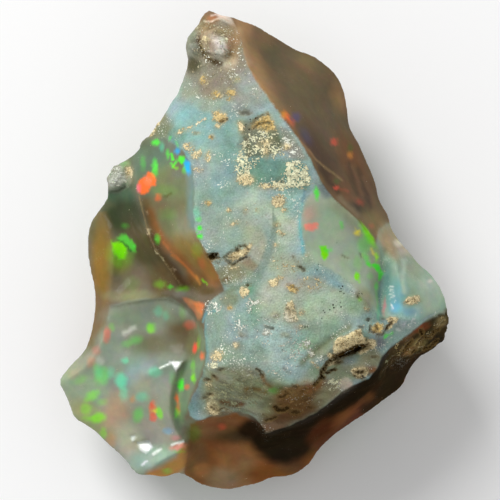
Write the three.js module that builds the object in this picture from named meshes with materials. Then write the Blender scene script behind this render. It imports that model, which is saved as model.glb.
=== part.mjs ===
// A rough precious opal, one broken piece of stone, lying on the flat break at its back.
// X runs across it, Y along it towards its pointed end, and Z up from the face that it rests on.
// The form is two skins that meet at the outline: the front, with its ridges and shell-shaped breaks,
// and the underside, which falls to the flat. Each skin is stretched over wires, which are the stone's
// own edges and creases, and between them it is sucked in or blown out as a break in opal is.
import * as THREE from "three";

// Driving sizes, in millimetres.
const LENGTH = 36; // along Y, from the pointed end to the foot
const FRONT_STEP = 0.5; // spacing of the front skin's points
const UNDER_STEP = 0.75; // spacing of the underside's points
const OUTLINE_STEP = 0.48; // spacing of the points on the outline

// The plan sheet: places are read off a drawing of the stone from above, on a square grid that counts
// columns to the right and rows down from its top left corner. Heights are millimetres above the flat.
const TOP_ROW = 10;
const FOOT_ROW = 490.5;
const LEFT_COLUMN = 59.5;
const RIGHT_COLUMN = 449;
const GRID = LENGTH / (FOOT_ROW - TOP_ROW);

const OUTLINE = [
  [210, 10, 9.2], [219, 14.5, 9.4], [231, 17, 9.5], [243, 21.5, 9.2], [254, 24.5, 8.4], [264, 30, 7.8],
  [281, 40.5, 7.1], [298, 50, 6.6], [312, 54.5, 6.3], [323, 62, 6.1], [334, 71, 6.0], [341, 82, 6.0],
  [345.5, 94, 6.1], [348, 108, 6.3], [350.5, 127, 6.6], [359, 143, 6.9], [368, 163, 7.0],
  [375.5, 181, 7.1], [380, 200, 7.2], [389, 216, 7.4], [392, 229, 7.7], [400, 241, 8.2],
  [409, 251.5, 8.7], [419, 264, 9.0], [429, 272.5, 9.1], [439, 285, 9.0], [445, 298, 8.8],
  [447.5, 311, 8.3], [449, 324, 7.3], [445.5, 336, 6.5], [440.5, 344.5, 6.0], [432, 350.5, 5.7],
  [421, 357, 5.4], [413.5, 365.5, 5.1], [408, 376, 4.9], [402, 388, 4.7], [388, 398.5, 4.4],
  [370, 412, 4.1], [350, 425, 3.9], [332, 438.5, 3.8], [319, 451.5, 3.8], [311, 464, 3.8],
  [303, 470.5, 3.8], [290, 477, 3.8], [271, 479, 3.8], [258, 484.5, 3.8], [245, 487.5, 3.8],
  [230, 490.5, 3.9], [214, 489, 4.0], [201, 485.5, 4.2], [189, 478, 4.8], [177, 473.5, 5.8],
  [168, 477, 6.0], [158, 477, 6.1], [151.5, 475, 6.3], [143, 476.5, 6.4], [133.5, 471.5, 6.3],
  [127, 462, 6.1], [118, 453, 5.9], [107, 444, 5.7], [97, 433.5, 5.6], [86, 425.5, 5.5],
  [74.5, 419, 5.5], [70, 408, 5.5], [65, 395, 5.5], [59.5, 382, 5.4], [64, 373, 5.4],
  [74, 361.5, 5.2], [84, 351, 5.0], [89, 340, 5.0], [93, 323, 5.0], [95, 304, 5.0], [94, 287, 5.0],
  [90, 269, 5.0], [87, 252, 5.0], [88, 235, 5.1], [91.5, 221, 5.4], [99, 210.5, 5.9],
  [105, 202, 6.3], [108.5, 193.5, 6.9], [107, 184, 7.5], [109, 175, 7.8], [115, 167.5, 8.0],
  [130, 157.5, 8.1], [139, 150, 8.2], [142, 140.5, 8.4], [150, 136.5, 8.6], [157, 127, 8.9],
  [163, 119, 9.1], [169, 108, 9.3], [172, 101.5, 9.4], [178.5, 95, 9.5], [181.5, 84, 9.6],
  [187.5, 68, 9.6], [188, 60, 9.5], [186, 45, 9.5], [190, 34, 9.6], [198, 26, 9.7],
  [201.5, 18, 9.5],
];

// Edges and creases of the front.
const FRONT_WIRES = {
  // The long edge between the satin front and the steep brown break on its right.
  rightRidge: [
    [238, 21, 9.6], [241, 34, 11.2], [243, 47, 12.2], [248, 64, 13.1], [258, 80, 13.9], [272, 100, 14.7],
    [286, 120, 15.2], [300, 140, 15.6], [311, 160, 15.8], [320, 180, 15.7], [334, 199, 15.3],
    [347, 210, 14.8], [358, 221, 14.2], [370, 236, 13.2], [381, 252, 12.1],
  ],
  // The edge between the satin front and the shell-shaped break on its left.
  leftRidge: [
    [170, 105, 9.4], [176, 118, 10.9], [179, 135, 12.0], [184, 151, 12.8], [192, 167, 13.5],
    [194, 188, 13.9], [194, 212, 14.2], [196, 233, 14.4], [205, 250, 14.5], [213, 264, 14.4],
    [219, 277, 14.1], [224, 291, 13.6],
  ],
  // The satin front's lower left edge, round the notch and down to its corner.
  lowerLeftRidge: [
    [224, 291, 13.6], [216, 296, 13.2], [209, 302, 12.9], [205, 311, 12.6], [204, 324, 12.6],
    [205, 338, 12.7], [206, 352, 12.8], [205, 364, 12.6], [202, 375, 12.1], [198, 387, 11.3],
    [192, 398, 10.6], [188.5, 408, 10.1], [190, 416, 9.9], [196, 420, 10.1],
  ],
  // The satin front's lower edge, above the dark break.
  lowerEdge: [
    [196, 420, 10.1], [204, 419, 10.4], [214, 415, 10.7], [223, 411, 10.9], [236, 411, 11.0],
    [249, 414, 11.0], [259, 421, 10.8], [266, 433, 10.3], [276, 430.5, 10.6], [290, 425.5, 10.9],
    [304, 419, 11.1], [317, 412, 11.3], [330, 402, 11.6], [341, 392, 11.8], [354, 385, 11.9],
    [369, 378.5, 12.0], [377, 369, 12.0], [381, 358, 12.0], [388, 349, 11.8], [404, 339.5, 11.2],
    [417, 330, 10.6], [431, 322, 10.0], [441, 315.5, 9.3], [447.5, 311, 8.3],
  ],
  // The fold below which the satin front turns down.
  fold: [
    [205, 364, 12.6], [216, 367, 13.8], [231, 364, 14.4], [245, 365, 14.7], [258, 371, 14.7],
    [271, 379, 14.5], [286, 383, 14.4], [301, 384, 14.3], [315, 382, 14.0],
  ],
  // The deep crack, and the crusted swelling over it.
  crack: [
    [315, 382, 14.0], [323, 373, 13.4], [333, 361, 13.2], [345, 353, 13.1], [358, 348, 13.0],
    [369, 347, 12.8],
  ],
  crustRidge: [
    [318, 362, 14.6], [327, 352, 14.7], [337, 341, 14.9], [350, 333, 14.9], [363, 332, 14.4],
    [374, 335, 13.7], [383, 331, 12.9],
  ],
  groove: [[299, 362, 14.9], [314, 351, 14.7], [328, 340, 14.6], [342, 327, 14.6], [355, 316, 14.3]],
  // The smooth break in the satin front's right half.
  flashRim: [
    [319, 187, 15.7], [309, 196, 15.8], [302, 207, 15.9], [301, 220, 15.9], [303, 234, 15.9],
    [306, 250, 15.8], [315, 264, 15.6], [334, 278, 15.1], [350, 288, 14.6], [364, 298, 13.9],
    [374, 308, 13.1], [381, 320, 12.3],
  ],
  // The valley on the left of the right-hand lobe, and the lobe's crest.
  lobeValley: [
    [381, 252, 12.1], [383, 264, 11.7], [382, 278, 11.3], [380, 292, 11.2], [380, 306, 11.5],
    [381, 320, 12.3],
  ],
  lobeCrest: [
    [391, 243, 10.6], [395, 258, 11.6], [398, 274, 12.1], [399, 290, 12.3], [400, 304, 12.5],
    [406, 316, 12.4], [416, 323, 11.7],
  ],
  // The edge between the two shell-shaped breaks on the left.
  shellRidge: [
    [131, 157, 8.1], [136, 168, 9.5], [137, 184, 10.4], [140, 197, 10.9], [144, 213, 11.2],
    [149, 231, 11.4], [154, 245, 11.3], [163, 260, 11.1], [173, 274, 10.8], [181, 287, 10.4],
    [188, 301, 10.0], [195, 317, 9.7],
  ],
  // The lower left lobe: its back edge, its left edge, its right edge and its small end face.
  shellFoot: [
    [110, 306, 7.1], [125, 302, 7.9], [141, 299.5, 8.7], [156, 298, 9.2], [167, 297.5, 9.4],
    [176, 301, 9.4], [185, 308, 9.4], [195, 317, 9.7],
  ],
  leftFold: [
    [101, 214, 6.6], [109, 232, 7.3], [113, 250, 7.4], [113, 270, 7.2], [111, 290, 7.0], [110, 306, 7.1],
    [107, 323, 7.4], [103, 340, 7.5], [96, 354, 7.3], [84, 368, 6.8], [71, 377, 6.1], [59.5, 382, 5.4],
  ],
  lobeEdge: [
    [182, 362, 10.1], [176, 373, 10.1], [172, 386, 10.0], [170, 400, 9.7], [171, 416, 9.4],
    [175, 429, 9.2], [183, 441, 9.1], [187, 450, 8.6], [184, 461, 7.4], [177, 473.5, 5.8],
  ],
  lobeToe: [[187, 450, 8.6], [176, 453, 8.6], [166, 458, 8.2], [157, 463, 7.7], [151, 475, 6.3]],
  lobeShoulder: [[182, 362, 10.1], [171, 364, 10.1], [160, 368, 9.9], [149, 373, 9.5]],
  trough: [
    [195, 317, 9.7], [196, 332, 9.7], [194, 347, 9.7], [191, 360, 9.7], [185, 373, 9.6],
    [180.5, 387, 9.5], [178.5, 401, 9.2], [180, 415, 8.9], [185, 427, 8.5], [194, 437, 7.6],
  ],
  // The crease half way down the dark break under the lower edge.
  darkCrease: [
    [194, 437, 7.6], [215, 439, 7.6], [236, 439, 7.5], [253, 452, 6.7], [269, 460, 6.1],
    [289, 460, 5.9], [305, 450, 6.0], [317, 437, 6.3], [333, 426, 6.5], [350, 413, 6.7],
    [370, 398, 6.8], [390, 377, 6.9], [407, 359, 7.2], [425, 346, 7.1], [440, 333, 7.0],
    [449, 324, 7.3],
  ],
  // Ribs on the dark break, between its shell-shaped hollows.
  notchRib: [[266, 433, 10.3], [262, 443, 8.6], [253, 452, 6.7]],
  darkRib: [[304, 419, 11.1], [309, 427, 9.1], [317, 437, 6.3]],
  wallRib: [[354, 385, 11.9], [361, 391, 9.6], [370, 398, 6.8]],
  footRidge: [[215, 439, 7.6], [224, 454, 7.2], [228, 471, 6.1], [230, 490.5, 3.9]],
  heelRidge: [[289, 460, 5.9], [288, 468, 5.3], [290, 477, 3.8]],
  // The pointed end: the small face at its tip, the creases round its two knobs.
  tipEdge: [[201.5, 18, 9.5], [212, 19.5, 10.5], [224, 20, 10.6], [238, 21, 9.6]],
  knobCrease: [
    [199, 31, 10.3], [199, 44, 10.4], [202, 53, 10.7], [211, 61, 11.2], [221, 64, 11.7], [231, 61, 12.1],
  ],
  lumpCrease: [[202, 53, 10.7], [197, 62, 10.2], [187.5, 68, 9.6]],
  // The rough knob on the left outline.
  sideKnob: [[108.5, 193.5, 6.9], [118, 194, 7.6], [127, 186, 8.3], [131, 172, 8.7], [130, 157.5, 8.1]],
  sideKnobTop: [[114, 183, 8.3], [119, 176, 8.9], [124, 167, 8.9]],
};

// Where the front is sucked in (+) or blown out (-): column, row, reach and depth in millimetres.
const FRONT_PRESSURES = [
  [250, 190, 6.5, -0.9], [245, 320, 4.5, -0.7], [225, 90, 2.6, -0.3], [300, 310, 3.5, -0.3],
  [240, 395, 2.4, -0.25], [310, 400, 2.0, -0.2], [360, 365, 1.6, -0.5],
  [300, 90, 4.5, 0.35], [360, 190, 3.0, 0.25], [330, 75, 2.0, -0.4],
  [345, 245, 3.2, 0.5], [425, 290, 2.6, -0.7], [408, 285, 1.3, -0.2], [385, 342, 1.2, 0.3],
  [165, 215, 3.0, 1.0], [160, 150, 1.6, 0.35], [195, 275, 1.8, 0.7],
  [125, 235, 3.6, 1.5], [140, 275, 2.5, 0.9], [98, 270, 1.4, -0.35], [97, 330, 1.2, -0.3],
  [140, 335, 3.4, 0.6], [120, 400, 3.6, -0.5], [150, 425, 2.2, 0.3], [150, 450, 1.2, 0.25],
  [90, 400, 2.0, 0.25], [355, 412, 1.6, -0.25],
  [420, 348, 1.5, -0.3], [218, 42, 1.4, -0.75], [193, 46, 0.8, -0.5],
  [172, 470, 1.0, -0.15], [225, 425, 1.2, 0.3], [283, 444, 1.5, 0.5], [340, 406, 1.4, 0.4],
  [385, 368, 1.2, 0.35], [205, 460, 1.6, 0.3], [260, 470, 1.4, 0.25], [245, 436, 0.9, 0.3],
];

// The flat break that the stone rests on.
const FLAT = [
  [186, 150], [214, 121], [251, 112], [283, 131], [306, 168], [327, 212], [352, 262], [362, 306],
  [344, 352], [306, 386], [262, 420], [214, 430], [170, 410], [143, 372], [131, 325], [139, 272],
  [152, 226], [166, 186],
];

// Edges of the underside.
const UNDER_WIRES = {
  apexKeel: [[210, 10, 9.2], [216, 30, 7.4], [221, 58, 4.8], [232, 90, 2.1], [240, 114, 0]],
  // A lower edge under the brown break, so that the stone has a side face there.
  rightSkirt: [
    [264, 30, 7.8], [279, 50, 5.2], [300, 70, 3.8], [320, 88, 3.2], [331, 110, 3.0], [336, 136, 3.1],
    [346, 164, 3.3], [356, 190, 3.4], [366, 214, 3.6], [378, 240, 4.2], [392, 262, 4.6],
  ],
  rightRib: [[331, 110, 3.0], [314, 128, 1.8], [292, 145, 0]],
  kneeRib: [[366, 214, 3.6], [352, 226, 1.9], [335, 230, 0]],
  // The side face under the right-hand lobe.
  lobeSkirt: [
    [392, 262, 4.6], [410, 276, 4.9], [426, 292, 4.6], [434, 310, 4.0], [430, 330, 3.4],
    [416, 345, 3.0], [402, 358, 2.8],
  ],
  lobeRib: [[434, 310, 4.0], [408, 312, 2.2], [384, 308, 1.0], [362, 306, 0]],
  footRib: [[401, 388, 4.7], [384, 380, 3.0], [364, 366, 1.4], [344, 352, 0]],
  footSkirt: [
    [402, 358, 2.8], [384, 380, 3.0], [354, 404, 2.5], [326, 420, 2.0], [300, 446, 1.8],
    [270, 464, 1.7], [236, 473, 1.8], [206, 467, 2.0], [186, 456, 2.6],
  ],
  heelRib: [[300, 446, 1.8], [286, 424, 0.8], [275, 411, 0]],
  // The side face under the lower left lobe.
  toeSkirt: [
    [186, 456, 2.6], [164, 462, 3.4], [142, 458, 3.4], [126, 442, 3.1], [108, 426, 3.0],
    [90, 410, 3.1], [77, 386, 3.6], [59.5, 382, 5.4],
  ],
  toeRib: [[126, 442, 3.1], [143, 424, 1.6], [160, 402, 0]],
  tailRib: [[77, 386, 3.6], [102, 378, 2.2], [124, 372, 1.0], [141, 366, 0]],
  leftRib: [[95, 304, 5.0], [110, 310, 2.9], [121, 318, 1.3], [131, 325, 0]],
  waistRib: [[88, 235, 5.1], [110, 232, 3.1], [130, 236, 1.4], [150, 234, 0]],
  knobKeel: [[108.5, 193.5, 6.9], [128, 192, 4.8], [148, 190, 2.2], [166, 186, 0]],
  shoulderRib: [[163, 119, 9.1], [176, 126, 5.6], [188, 134, 2.6], [199, 137, 0]],
};

// Where the underside is sucked in (+) or blown out (-).
const UNDER_PRESSURES = [
  [270, 84, 3.2, 1.1], [205, 88, 2.8, 0.9], [330, 180, 2.6, 0.8], [380, 266, 2.2, 0.8],
  [392, 336, 2.2, 0.7], [326, 404, 2.6, 0.7], [222, 446, 2.8, 0.8], [128, 408, 2.4, 0.7],
  [108, 344, 2.2, 0.6], [112, 272, 2.4, 0.8], [128, 212, 2.2, 0.7], [162, 156, 2.4, 0.8],
  [300, 66, 1.6, 0.3], [412, 300, 1.4, -0.3], [150, 448, 1.6, -0.2],
];

// How the skins settle.
const SETTLE_ROUNDS = 700;
const OVER_RELAX = 1.75;
const MERGE_SHARE = 0.5; // points closer than this share of a step are one point
const CLEAR_SHARE = 0.72; // filling points keep this share of a step clear of every wire

const MID_COLUMN = (LEFT_COLUMN + RIGHT_COLUMN) / 2;
const MID_ROW = (TOP_ROW + FOOT_ROW) / 2;

// A place on the plan sheet and its height, as a point of the part.
function place([column, row, height = 0]) {
  return new THREE.Vector3((column - MID_COLUMN) * GRID, (MID_ROW - row) * GRID, height);
}

// Evenly spaced points along the smooth curve through the given places.
function along(places, step, closed = false) {
  const curve = new THREE.CatmullRomCurve3(places.map(place), closed, "centripetal");
  curve.arcLengthDivisions = 40 * places.length;
  const plan = new THREE.CatmullRomCurve3(places.map(([c, r]) => place([c, r])), closed, "centripetal");
  const count = Math.max(1, Math.round(plan.getLength() / step));
  const points = curve.getSpacedPoints(count);
  return closed ? points.slice(0, -1) : points;
}

const planDistance = (a, b) => Math.hypot(a.x - b.x, a.y - b.y);

// Adds the points that aren't already there, and marks them as held at their own height.
function hold(points, added, step) {
  for (const point of added) {
    if (points.some((p) => planDistance(p.at, point) < MERGE_SHARE * step)) continue;
    points.push({ at: point, held: true });
  }
}

// Whether a plan point is inside a ring of points.
function inside(ring, x, y) {
  let within = false;
  ring.forEach((a, i) => {
    const b = ring[(i + 1) % ring.length];
    const crosses = a.y > y !== b.y > y;
    if (crosses && x < ((b.x - a.x) * (y - a.y)) / (b.y - a.y) + a.x) within = !within;
  });
  return within;
}

// Fills the ring with free points on a staggered grid, clear of the points that are held.
function fill(points, ring, step, flat = []) {
  const held = points.map((p) => p.at);
  const rowStep = (step * Math.sqrt(3)) / 2;
  const box = new THREE.Box3().setFromPoints(ring);
  const start = held.reduce((sum, p) => sum + p.z, 0) / held.length;
  for (let row = 0, y = box.min.y; y < box.max.y; row += 1, y += rowStep) {
    for (let x = box.min.x + (row % 2) * 0.5 * step; x < box.max.x; x += step) {
      const at = new THREE.Vector3(x, y, start);
      if (!inside(ring, x, y) || (flat.length && inside(flat, x, y))) continue;
      if (held.some((p) => planDistance(p, at) < CLEAR_SHARE * step)) continue;
      points.push({ at, held: false });
    }
  }
}

// The circle through three plan points.
function circle(a, b, c) {
  const bx = b.x - a.x;
  const by = b.y - a.y;
  const cx = c.x - a.x;
  const cy = c.y - a.y;
  const twice = 2 * (bx * cy - by * cx);
  const x = (cy * (bx * bx + by * by) - by * (cx * cx + cy * cy)) / twice;
  const y = (bx * (cx * cx + cy * cy) - cx * (bx * bx + by * by)) / twice;
  return { x: a.x + x, y: a.y + y, reach: x * x + y * y };
}

// Triangles over plan points, none of whose circles holds another point (Bowyer and Watson's method).
function triangulate(spots) {
  const FAR = 1000;
  const corners = [[-FAR, -FAR], [FAR, -FAR], [0, FAR]].map(([x, y]) => new THREE.Vector3(x, y, 0));
  const all = [...spots, ...corners];
  const n = spots.length;
  const triangle = (a, b, c) => ({ ids: [a, b, c], round: circle(all[a], all[b], all[c]) });
  let triangles = [triangle(n, n + 1, n + 2)];
  spots.forEach((spot, i) => {
    const kept = [];
    const edges = new Map();
    for (const t of triangles) {
      const dx = spot.x - t.round.x;
      const dy = spot.y - t.round.y;
      if (dx * dx + dy * dy >= t.round.reach) {
        kept.push(t);
        continue;
      }
      t.ids.forEach((a, k) => {
        const b = t.ids[(k + 1) % 3];
        if (!edges.delete(`${b},${a}`)) edges.set(`${a},${b}`, [a, b]);
      });
    }
    for (const [a, b] of edges.values()) kept.push(triangle(a, b, i));
    triangles = kept;
  });
  return triangles.map((t) => t.ids).filter((ids) => ids.every((id) => id < n));
}

// Curvature that the pressures ask for at a plan point.
function suction(pressures, at) {
  let sum = 0;
  for (const [column, row, reach, depth] of pressures) {
    const share = planDistance(place([column, row]), at) / reach;
    if (share < 1) sum += ((4 * depth) / (reach * reach)) * (1 - share * share) * 2;
  }
  return sum;
}

// How firmly each point's neighbours hold it, by the angles that face their shared edges, and the
// plan area around it.
function links(points, triangles) {
  const holds = points.map(() => new Map());
  const areas = points.map(() => 0);
  for (const ids of triangles) {
    ids.forEach((apex, k) => {
      const a = ids[(k + 1) % 3];
      const b = ids[(k + 2) % 3];
      const toA = points[a].at.clone().sub(points[apex].at);
      const toB = points[b].at.clone().sub(points[apex].at);
      const across = toA.x * toB.y - toA.y * toB.x;
      const firmness = (toA.x * toB.x + toA.y * toB.y) / across / 2;
      holds[a].set(b, (holds[a].get(b) ?? 0) + firmness);
      holds[b].set(a, (holds[b].get(a) ?? 0) + firmness);
      areas[apex] += across / 6;
    });
  }
  return { holds, areas };
}

// Lets the free points settle to the height of a skin stretched over the held ones. Inward is -1 on
// the front, where a hollow is lower than the skin around it, and 1 on the underside.
function settle(points, triangles, pressures, inward) {
  const { holds, areas } = links(points, triangles);
  const free = points.flatMap((point, id) => {
    if (point.held) return [];
    const near = [...holds[id]];
    const total = near.reduce((sum, [, firmness]) => sum + firmness, 0);
    return [{ at: point.at, near, total, pull: inward * suction(pressures, point.at) * areas[id] }];
  });
  for (let round = 0; round < SETTLE_ROUNDS; round += 1) {
    for (const { at, near, total, pull } of free) {
      const held = near.reduce((sum, [id, firmness]) => sum + firmness * points[id].at.z, 0);
      at.z += OVER_RELAX * ((held + pull) / total - at.z);
    }
  }
}

// One skin: its points, and its triangles seen anticlockwise from above.
function skin({ outline, wires, pressures, step, inward, flat = [] }) {
  const points = outline.map((at) => ({ at, held: true }));
  const flatRing = flat.length ? along(flat, step, true) : [];
  hold(points, flatRing, step);
  for (const wire of Object.values(wires)) hold(points, along(wire, step), step);
  fill(points, outline, step, flatRing);
  const places = points.map((p) => p.at);
  const triangles = triangulate(places).filter((ids) => {
    const x = ids.reduce((sum, id) => sum + places[id].x, 0) / 3;
    const y = ids.reduce((sum, id) => sum + places[id].y, 0) / 3;
    return inside(outline, x, y);
  });
  settle(points, triangles, pressures, inward);
  return { places, triangles };
}

// Both skins as one closed surface. They share the outline's points, which come first in each.
function stoneGeometry() {
  const outline = along(OUTLINE, OUTLINE_STEP, true);
  const front = skin({
    outline, wires: FRONT_WIRES, pressures: FRONT_PRESSURES, step: FRONT_STEP, inward: -1,
  });
  const under = skin({
    outline, wires: UNDER_WIRES, pressures: UNDER_PRESSURES, step: UNDER_STEP, inward: 1, flat: FLAT,
  });
  const shared = outline.length;
  const offset = front.places.length - shared;
  const underId = (id) => (id < shared ? id : id + offset);
  const index = [
    ...front.triangles.flat(),
    ...under.triangles.flatMap(([a, b, c]) => [underId(a), underId(c), underId(b)]),
  ];
  const places = [...front.places, ...under.places.slice(shared)];
  const geometry = new THREE.BufferGeometry().setFromPoints(places);
  geometry.setIndex(index);
  geometry.computeVertexNormals();
  return geometry;
}

// Precious opal: milky blue-green, with a satin skin.
function opalMaterial() {
  return new THREE.MeshStandardMaterial({ color: 0x8fa39b, roughness: 0.35, metalness: 0 });
}

const stone = new THREE.Mesh(stoneGeometry(), opalMaterial());
stone.name = "opal_stone";

const opal = new THREE.Group();
opal.add(stone);

export default opal;
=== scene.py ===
"""The looks of a rough precious opal, which lies on its back and is seen from straight above.

The CAD solid is copied and remeshed finely. The copy is given the stone's relief, such as sandy crust,
cracks, ripples and chips, and colours and finishes as attributes of its points. Marks are placed by
column and row of the photograph's 500 by 500 frame, which lies level over the stone.
"""

import itertools

import bpy
import numpy as np
from mathutils import Matrix, Vector


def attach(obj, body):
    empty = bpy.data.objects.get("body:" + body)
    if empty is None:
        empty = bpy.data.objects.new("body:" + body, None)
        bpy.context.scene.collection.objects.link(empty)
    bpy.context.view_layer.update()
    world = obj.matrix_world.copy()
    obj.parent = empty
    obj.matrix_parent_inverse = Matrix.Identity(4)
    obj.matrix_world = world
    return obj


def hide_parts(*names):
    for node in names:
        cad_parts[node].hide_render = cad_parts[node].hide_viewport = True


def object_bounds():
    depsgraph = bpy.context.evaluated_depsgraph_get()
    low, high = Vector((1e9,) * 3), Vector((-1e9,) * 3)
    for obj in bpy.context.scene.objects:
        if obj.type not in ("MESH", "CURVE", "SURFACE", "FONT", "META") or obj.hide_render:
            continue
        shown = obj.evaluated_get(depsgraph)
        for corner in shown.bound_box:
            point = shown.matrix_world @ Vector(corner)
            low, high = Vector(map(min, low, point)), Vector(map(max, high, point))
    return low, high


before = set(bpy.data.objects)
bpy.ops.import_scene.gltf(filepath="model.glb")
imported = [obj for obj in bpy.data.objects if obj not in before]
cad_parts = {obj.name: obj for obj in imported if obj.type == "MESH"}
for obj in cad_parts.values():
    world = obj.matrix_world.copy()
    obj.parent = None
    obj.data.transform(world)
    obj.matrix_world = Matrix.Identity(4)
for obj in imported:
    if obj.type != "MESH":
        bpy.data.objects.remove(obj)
cad_low, cad_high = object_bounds()

MM = 0.001
NODE = "opal_stone"

# The photograph's width in pixels, the rows of the stone's top and foot in it, and the column of its
# left edge.
PICTURE = 500
STONE_TOP, STONE_FOOT = 10.0, 490.5
STONE_LEFT = 59.5
PIXEL = (cad_high.y - cad_low.y) / (STONE_FOOT - STONE_TOP)

# The fine mesh.
WELD = 0.001 * MM
VOXEL = 0.115 * MM
SMOOTHING_ROUNDS = 4
MOST_TRIANGLES = 190_000
REST_UNEVENNESS = 0.15 * MM
RESTING_NORMAL = -0.999
# The nearer a share is to 1, the longer the edges that the thinning takes.
THIN_FRONT, THIN_BEHIND, THIN_RESTING = 0.05, 0.6, 1.0

# How far up a normal points where the front begins, and where it counts in full. The share of it at
# which a point belongs to the front.
FRONT_FROM, FRONT_FULL = -0.3, 0.05
IN_FRONT = 0.5

# The camera and the light.
CAMERA_HEIGHT = 800 * MM
FOCUS_HEIGHT = 7 * MM
SENSOR = 36.0
CLIP_START = 10 * MM
KEY_PLACE = Vector((-300, 420, 430)) * MM
KEY_SIZE = 340 * MM
KEY_POWER = 3.65
SKY_STRENGTH = 0.52
FLOOR_WIDTH = 3000 * MM
FLOOR_GAP = 0.02 * MM
FLOOR_COLOUR = (0.96, 0.96, 0.96, 1)


# ---------------------------------------------------------------- colours

def colour(red, green, blue):
    """A colour given as a screen shows it, from 0 to 255, as the linear one that Blender works in."""
    shown = np.array([red, green, blue]) / 255
    return np.where(shown <= 0.04045, shown / 12.92, ((shown + 0.055) / 1.055) ** 2.4)


SATIN = colour(150, 174, 167)
BREAK_COLOUR = colour(112, 104, 84)
# The white of the painted highlights on the lobe's ripples.
HIGHLIGHT_WHITE = colour(240, 246, 242)
GREEN = colour(84, 240, 66)
LIME = colour(134, 240, 22)
DEEP_GREEN = colour(48, 104, 44)
SEA = colour(96, 228, 176)
RED = colour(246, 90, 70)
ORANGE = colour(255, 118, 60)
AMBER = colour(225, 150, 60)
YELLOW = colour(240, 228, 80)
AZURE = colour(45, 180, 240)
VIOLET = colour(84, 80, 120)
MAGENTA = colour(232, 112, 130)
SALMON = colour(255, 152, 132)


# ---------------------------------------------------------------- marks on the photograph's frame

def smooth_step(low, high, value):
    """0 below low, 1 above high, and an easy rise between them."""
    share = np.clip((value - low) / (high - low), 0, 1)
    return share * share * (3 - 2 * share)


class Blob:
    """An ellipse: its middle, its full width and height, and its turn anticlockwise in degrees."""

    def __init__(self, column, row, width, height=None, turn=0):
        self.middle = np.array([column, row], float)
        self.half = np.array([width, height or width], float) / 2
        self.turn = np.radians(turn)

    def reach(self):
        most = self.half.max()
        return self.middle - most, self.middle + most

    def depth(self, spots):
        """How far inside each spot is, in pixels, negative outside."""
        off = spots - self.middle
        cos, sin = np.cos(self.turn), np.sin(self.turn)
        across = (off[:, 0] * cos - off[:, 1] * sin) / self.half[0]
        along = (off[:, 0] * sin + off[:, 1] * cos) / self.half[1]
        return (1 - np.hypot(across, along)) * self.half.min()


class Line:
    """A line through the given spots, with its full width."""

    def __init__(self, *spots, width):
        self.spots = np.array(spots, float)
        self.middle = self.spots.mean(0)
        self.width = width

    def reach(self):
        return self.spots.min(0) - self.width / 2, self.spots.max(0) + self.width / 2

    def depth(self, spots):
        return self.width / 2 - nearest(spots, self.spots[:-1], self.spots[1:])


class Patch:
    """The ground inside a closed outline."""

    def __init__(self, *spots):
        self.spots = np.array(spots, float)
        self.middle = self.spots.mean(0)

    def reach(self):
        return self.spots.min(0), self.spots.max(0)

    def depth(self, spots):
        ends = np.roll(self.spots, -1, axis=0)
        inside = np.zeros(len(spots), bool)
        for (ax, ay), (bx, by) in zip(self.spots, ends):
            if ay != by:
                crosses = (ay > spots[:, 1]) != (by > spots[:, 1])
                inside ^= crosses & (spots[:, 0] < (bx - ax) * (spots[:, 1] - ay) / (by - ay) + ax)
        return np.where(inside, 1, -1) * nearest(spots, self.spots, ends)


def nearest(spots, starts, ends):
    """Distance from each spot to the nearest of the straight pieces between starts and ends."""
    best = np.full(len(spots), np.inf)
    for start, end in zip(starts, ends):
        run = end - start
        share = np.clip((spots - start) @ run / (run @ run), 0, 1)
        best = np.minimum(best, np.linalg.norm(spots - start - share[:, None] * run, axis=1))
    return best


def cover(shape, spots, soft):
    """How much of each spot the shape covers, from 0 to 1, with an edge that is soft pixels wide."""
    low, high = shape.reach()
    near = np.all((spots > low - soft) & (spots < high + soft), axis=1)
    covered = np.zeros(len(spots))
    covered[near] = smooth_step(-soft / 2, soft / 2, shape.depth(spots[near]))
    return covered


# ---------------------------------------------------------------- noise

class Noise:
    """Smooth noise in space, about -1 to 1, with features of the given size. The same on each run."""

    TABLE = 256
    GAIN = 1.5  # brings the sum of the pulls, mostly within two thirds of 0, to about -1 to 1

    def __init__(self, size, seed):
        draw = np.random.default_rng(seed)
        leans = draw.normal(size=(self.TABLE, 3))
        self.size = size
        self.order = draw.permutation(self.TABLE)
        self.leans = leans / np.linalg.norm(leans, axis=1, keepdims=True)

    def __call__(self, places):
        scaled = places / self.size
        cell = np.floor(scaled).astype(int)
        part = scaled - cell
        ease = part**3 * (part * (6 * part - 15) + 10)
        total = np.zeros(len(places))
        for corner in itertools.product((0, 1), repeat=3):
            at = (cell + corner) % self.TABLE
            pick = self.order[at[:, 0]]
            pick = self.order[(pick + at[:, 1]) % self.TABLE]
            pick = self.order[(pick + at[:, 2]) % self.TABLE]
            pull = np.einsum("ij,ij->i", part - corner, self.leans[pick])
            total += pull * np.where(corner, ease, 1 - ease).prod(axis=1)
        return self.GAIN * total


def layered(places, size, seed, layers=3, fade=0.5):
    """Noise with finer and fainter noise on top."""
    total = sum(fade**k * Noise(size / 2**k, seed + k)(places) for k in range(layers))
    return total / sum(fade**k for k in range(layers))


# ---------------------------------------------------------------- where the kinds of surface are

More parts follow.
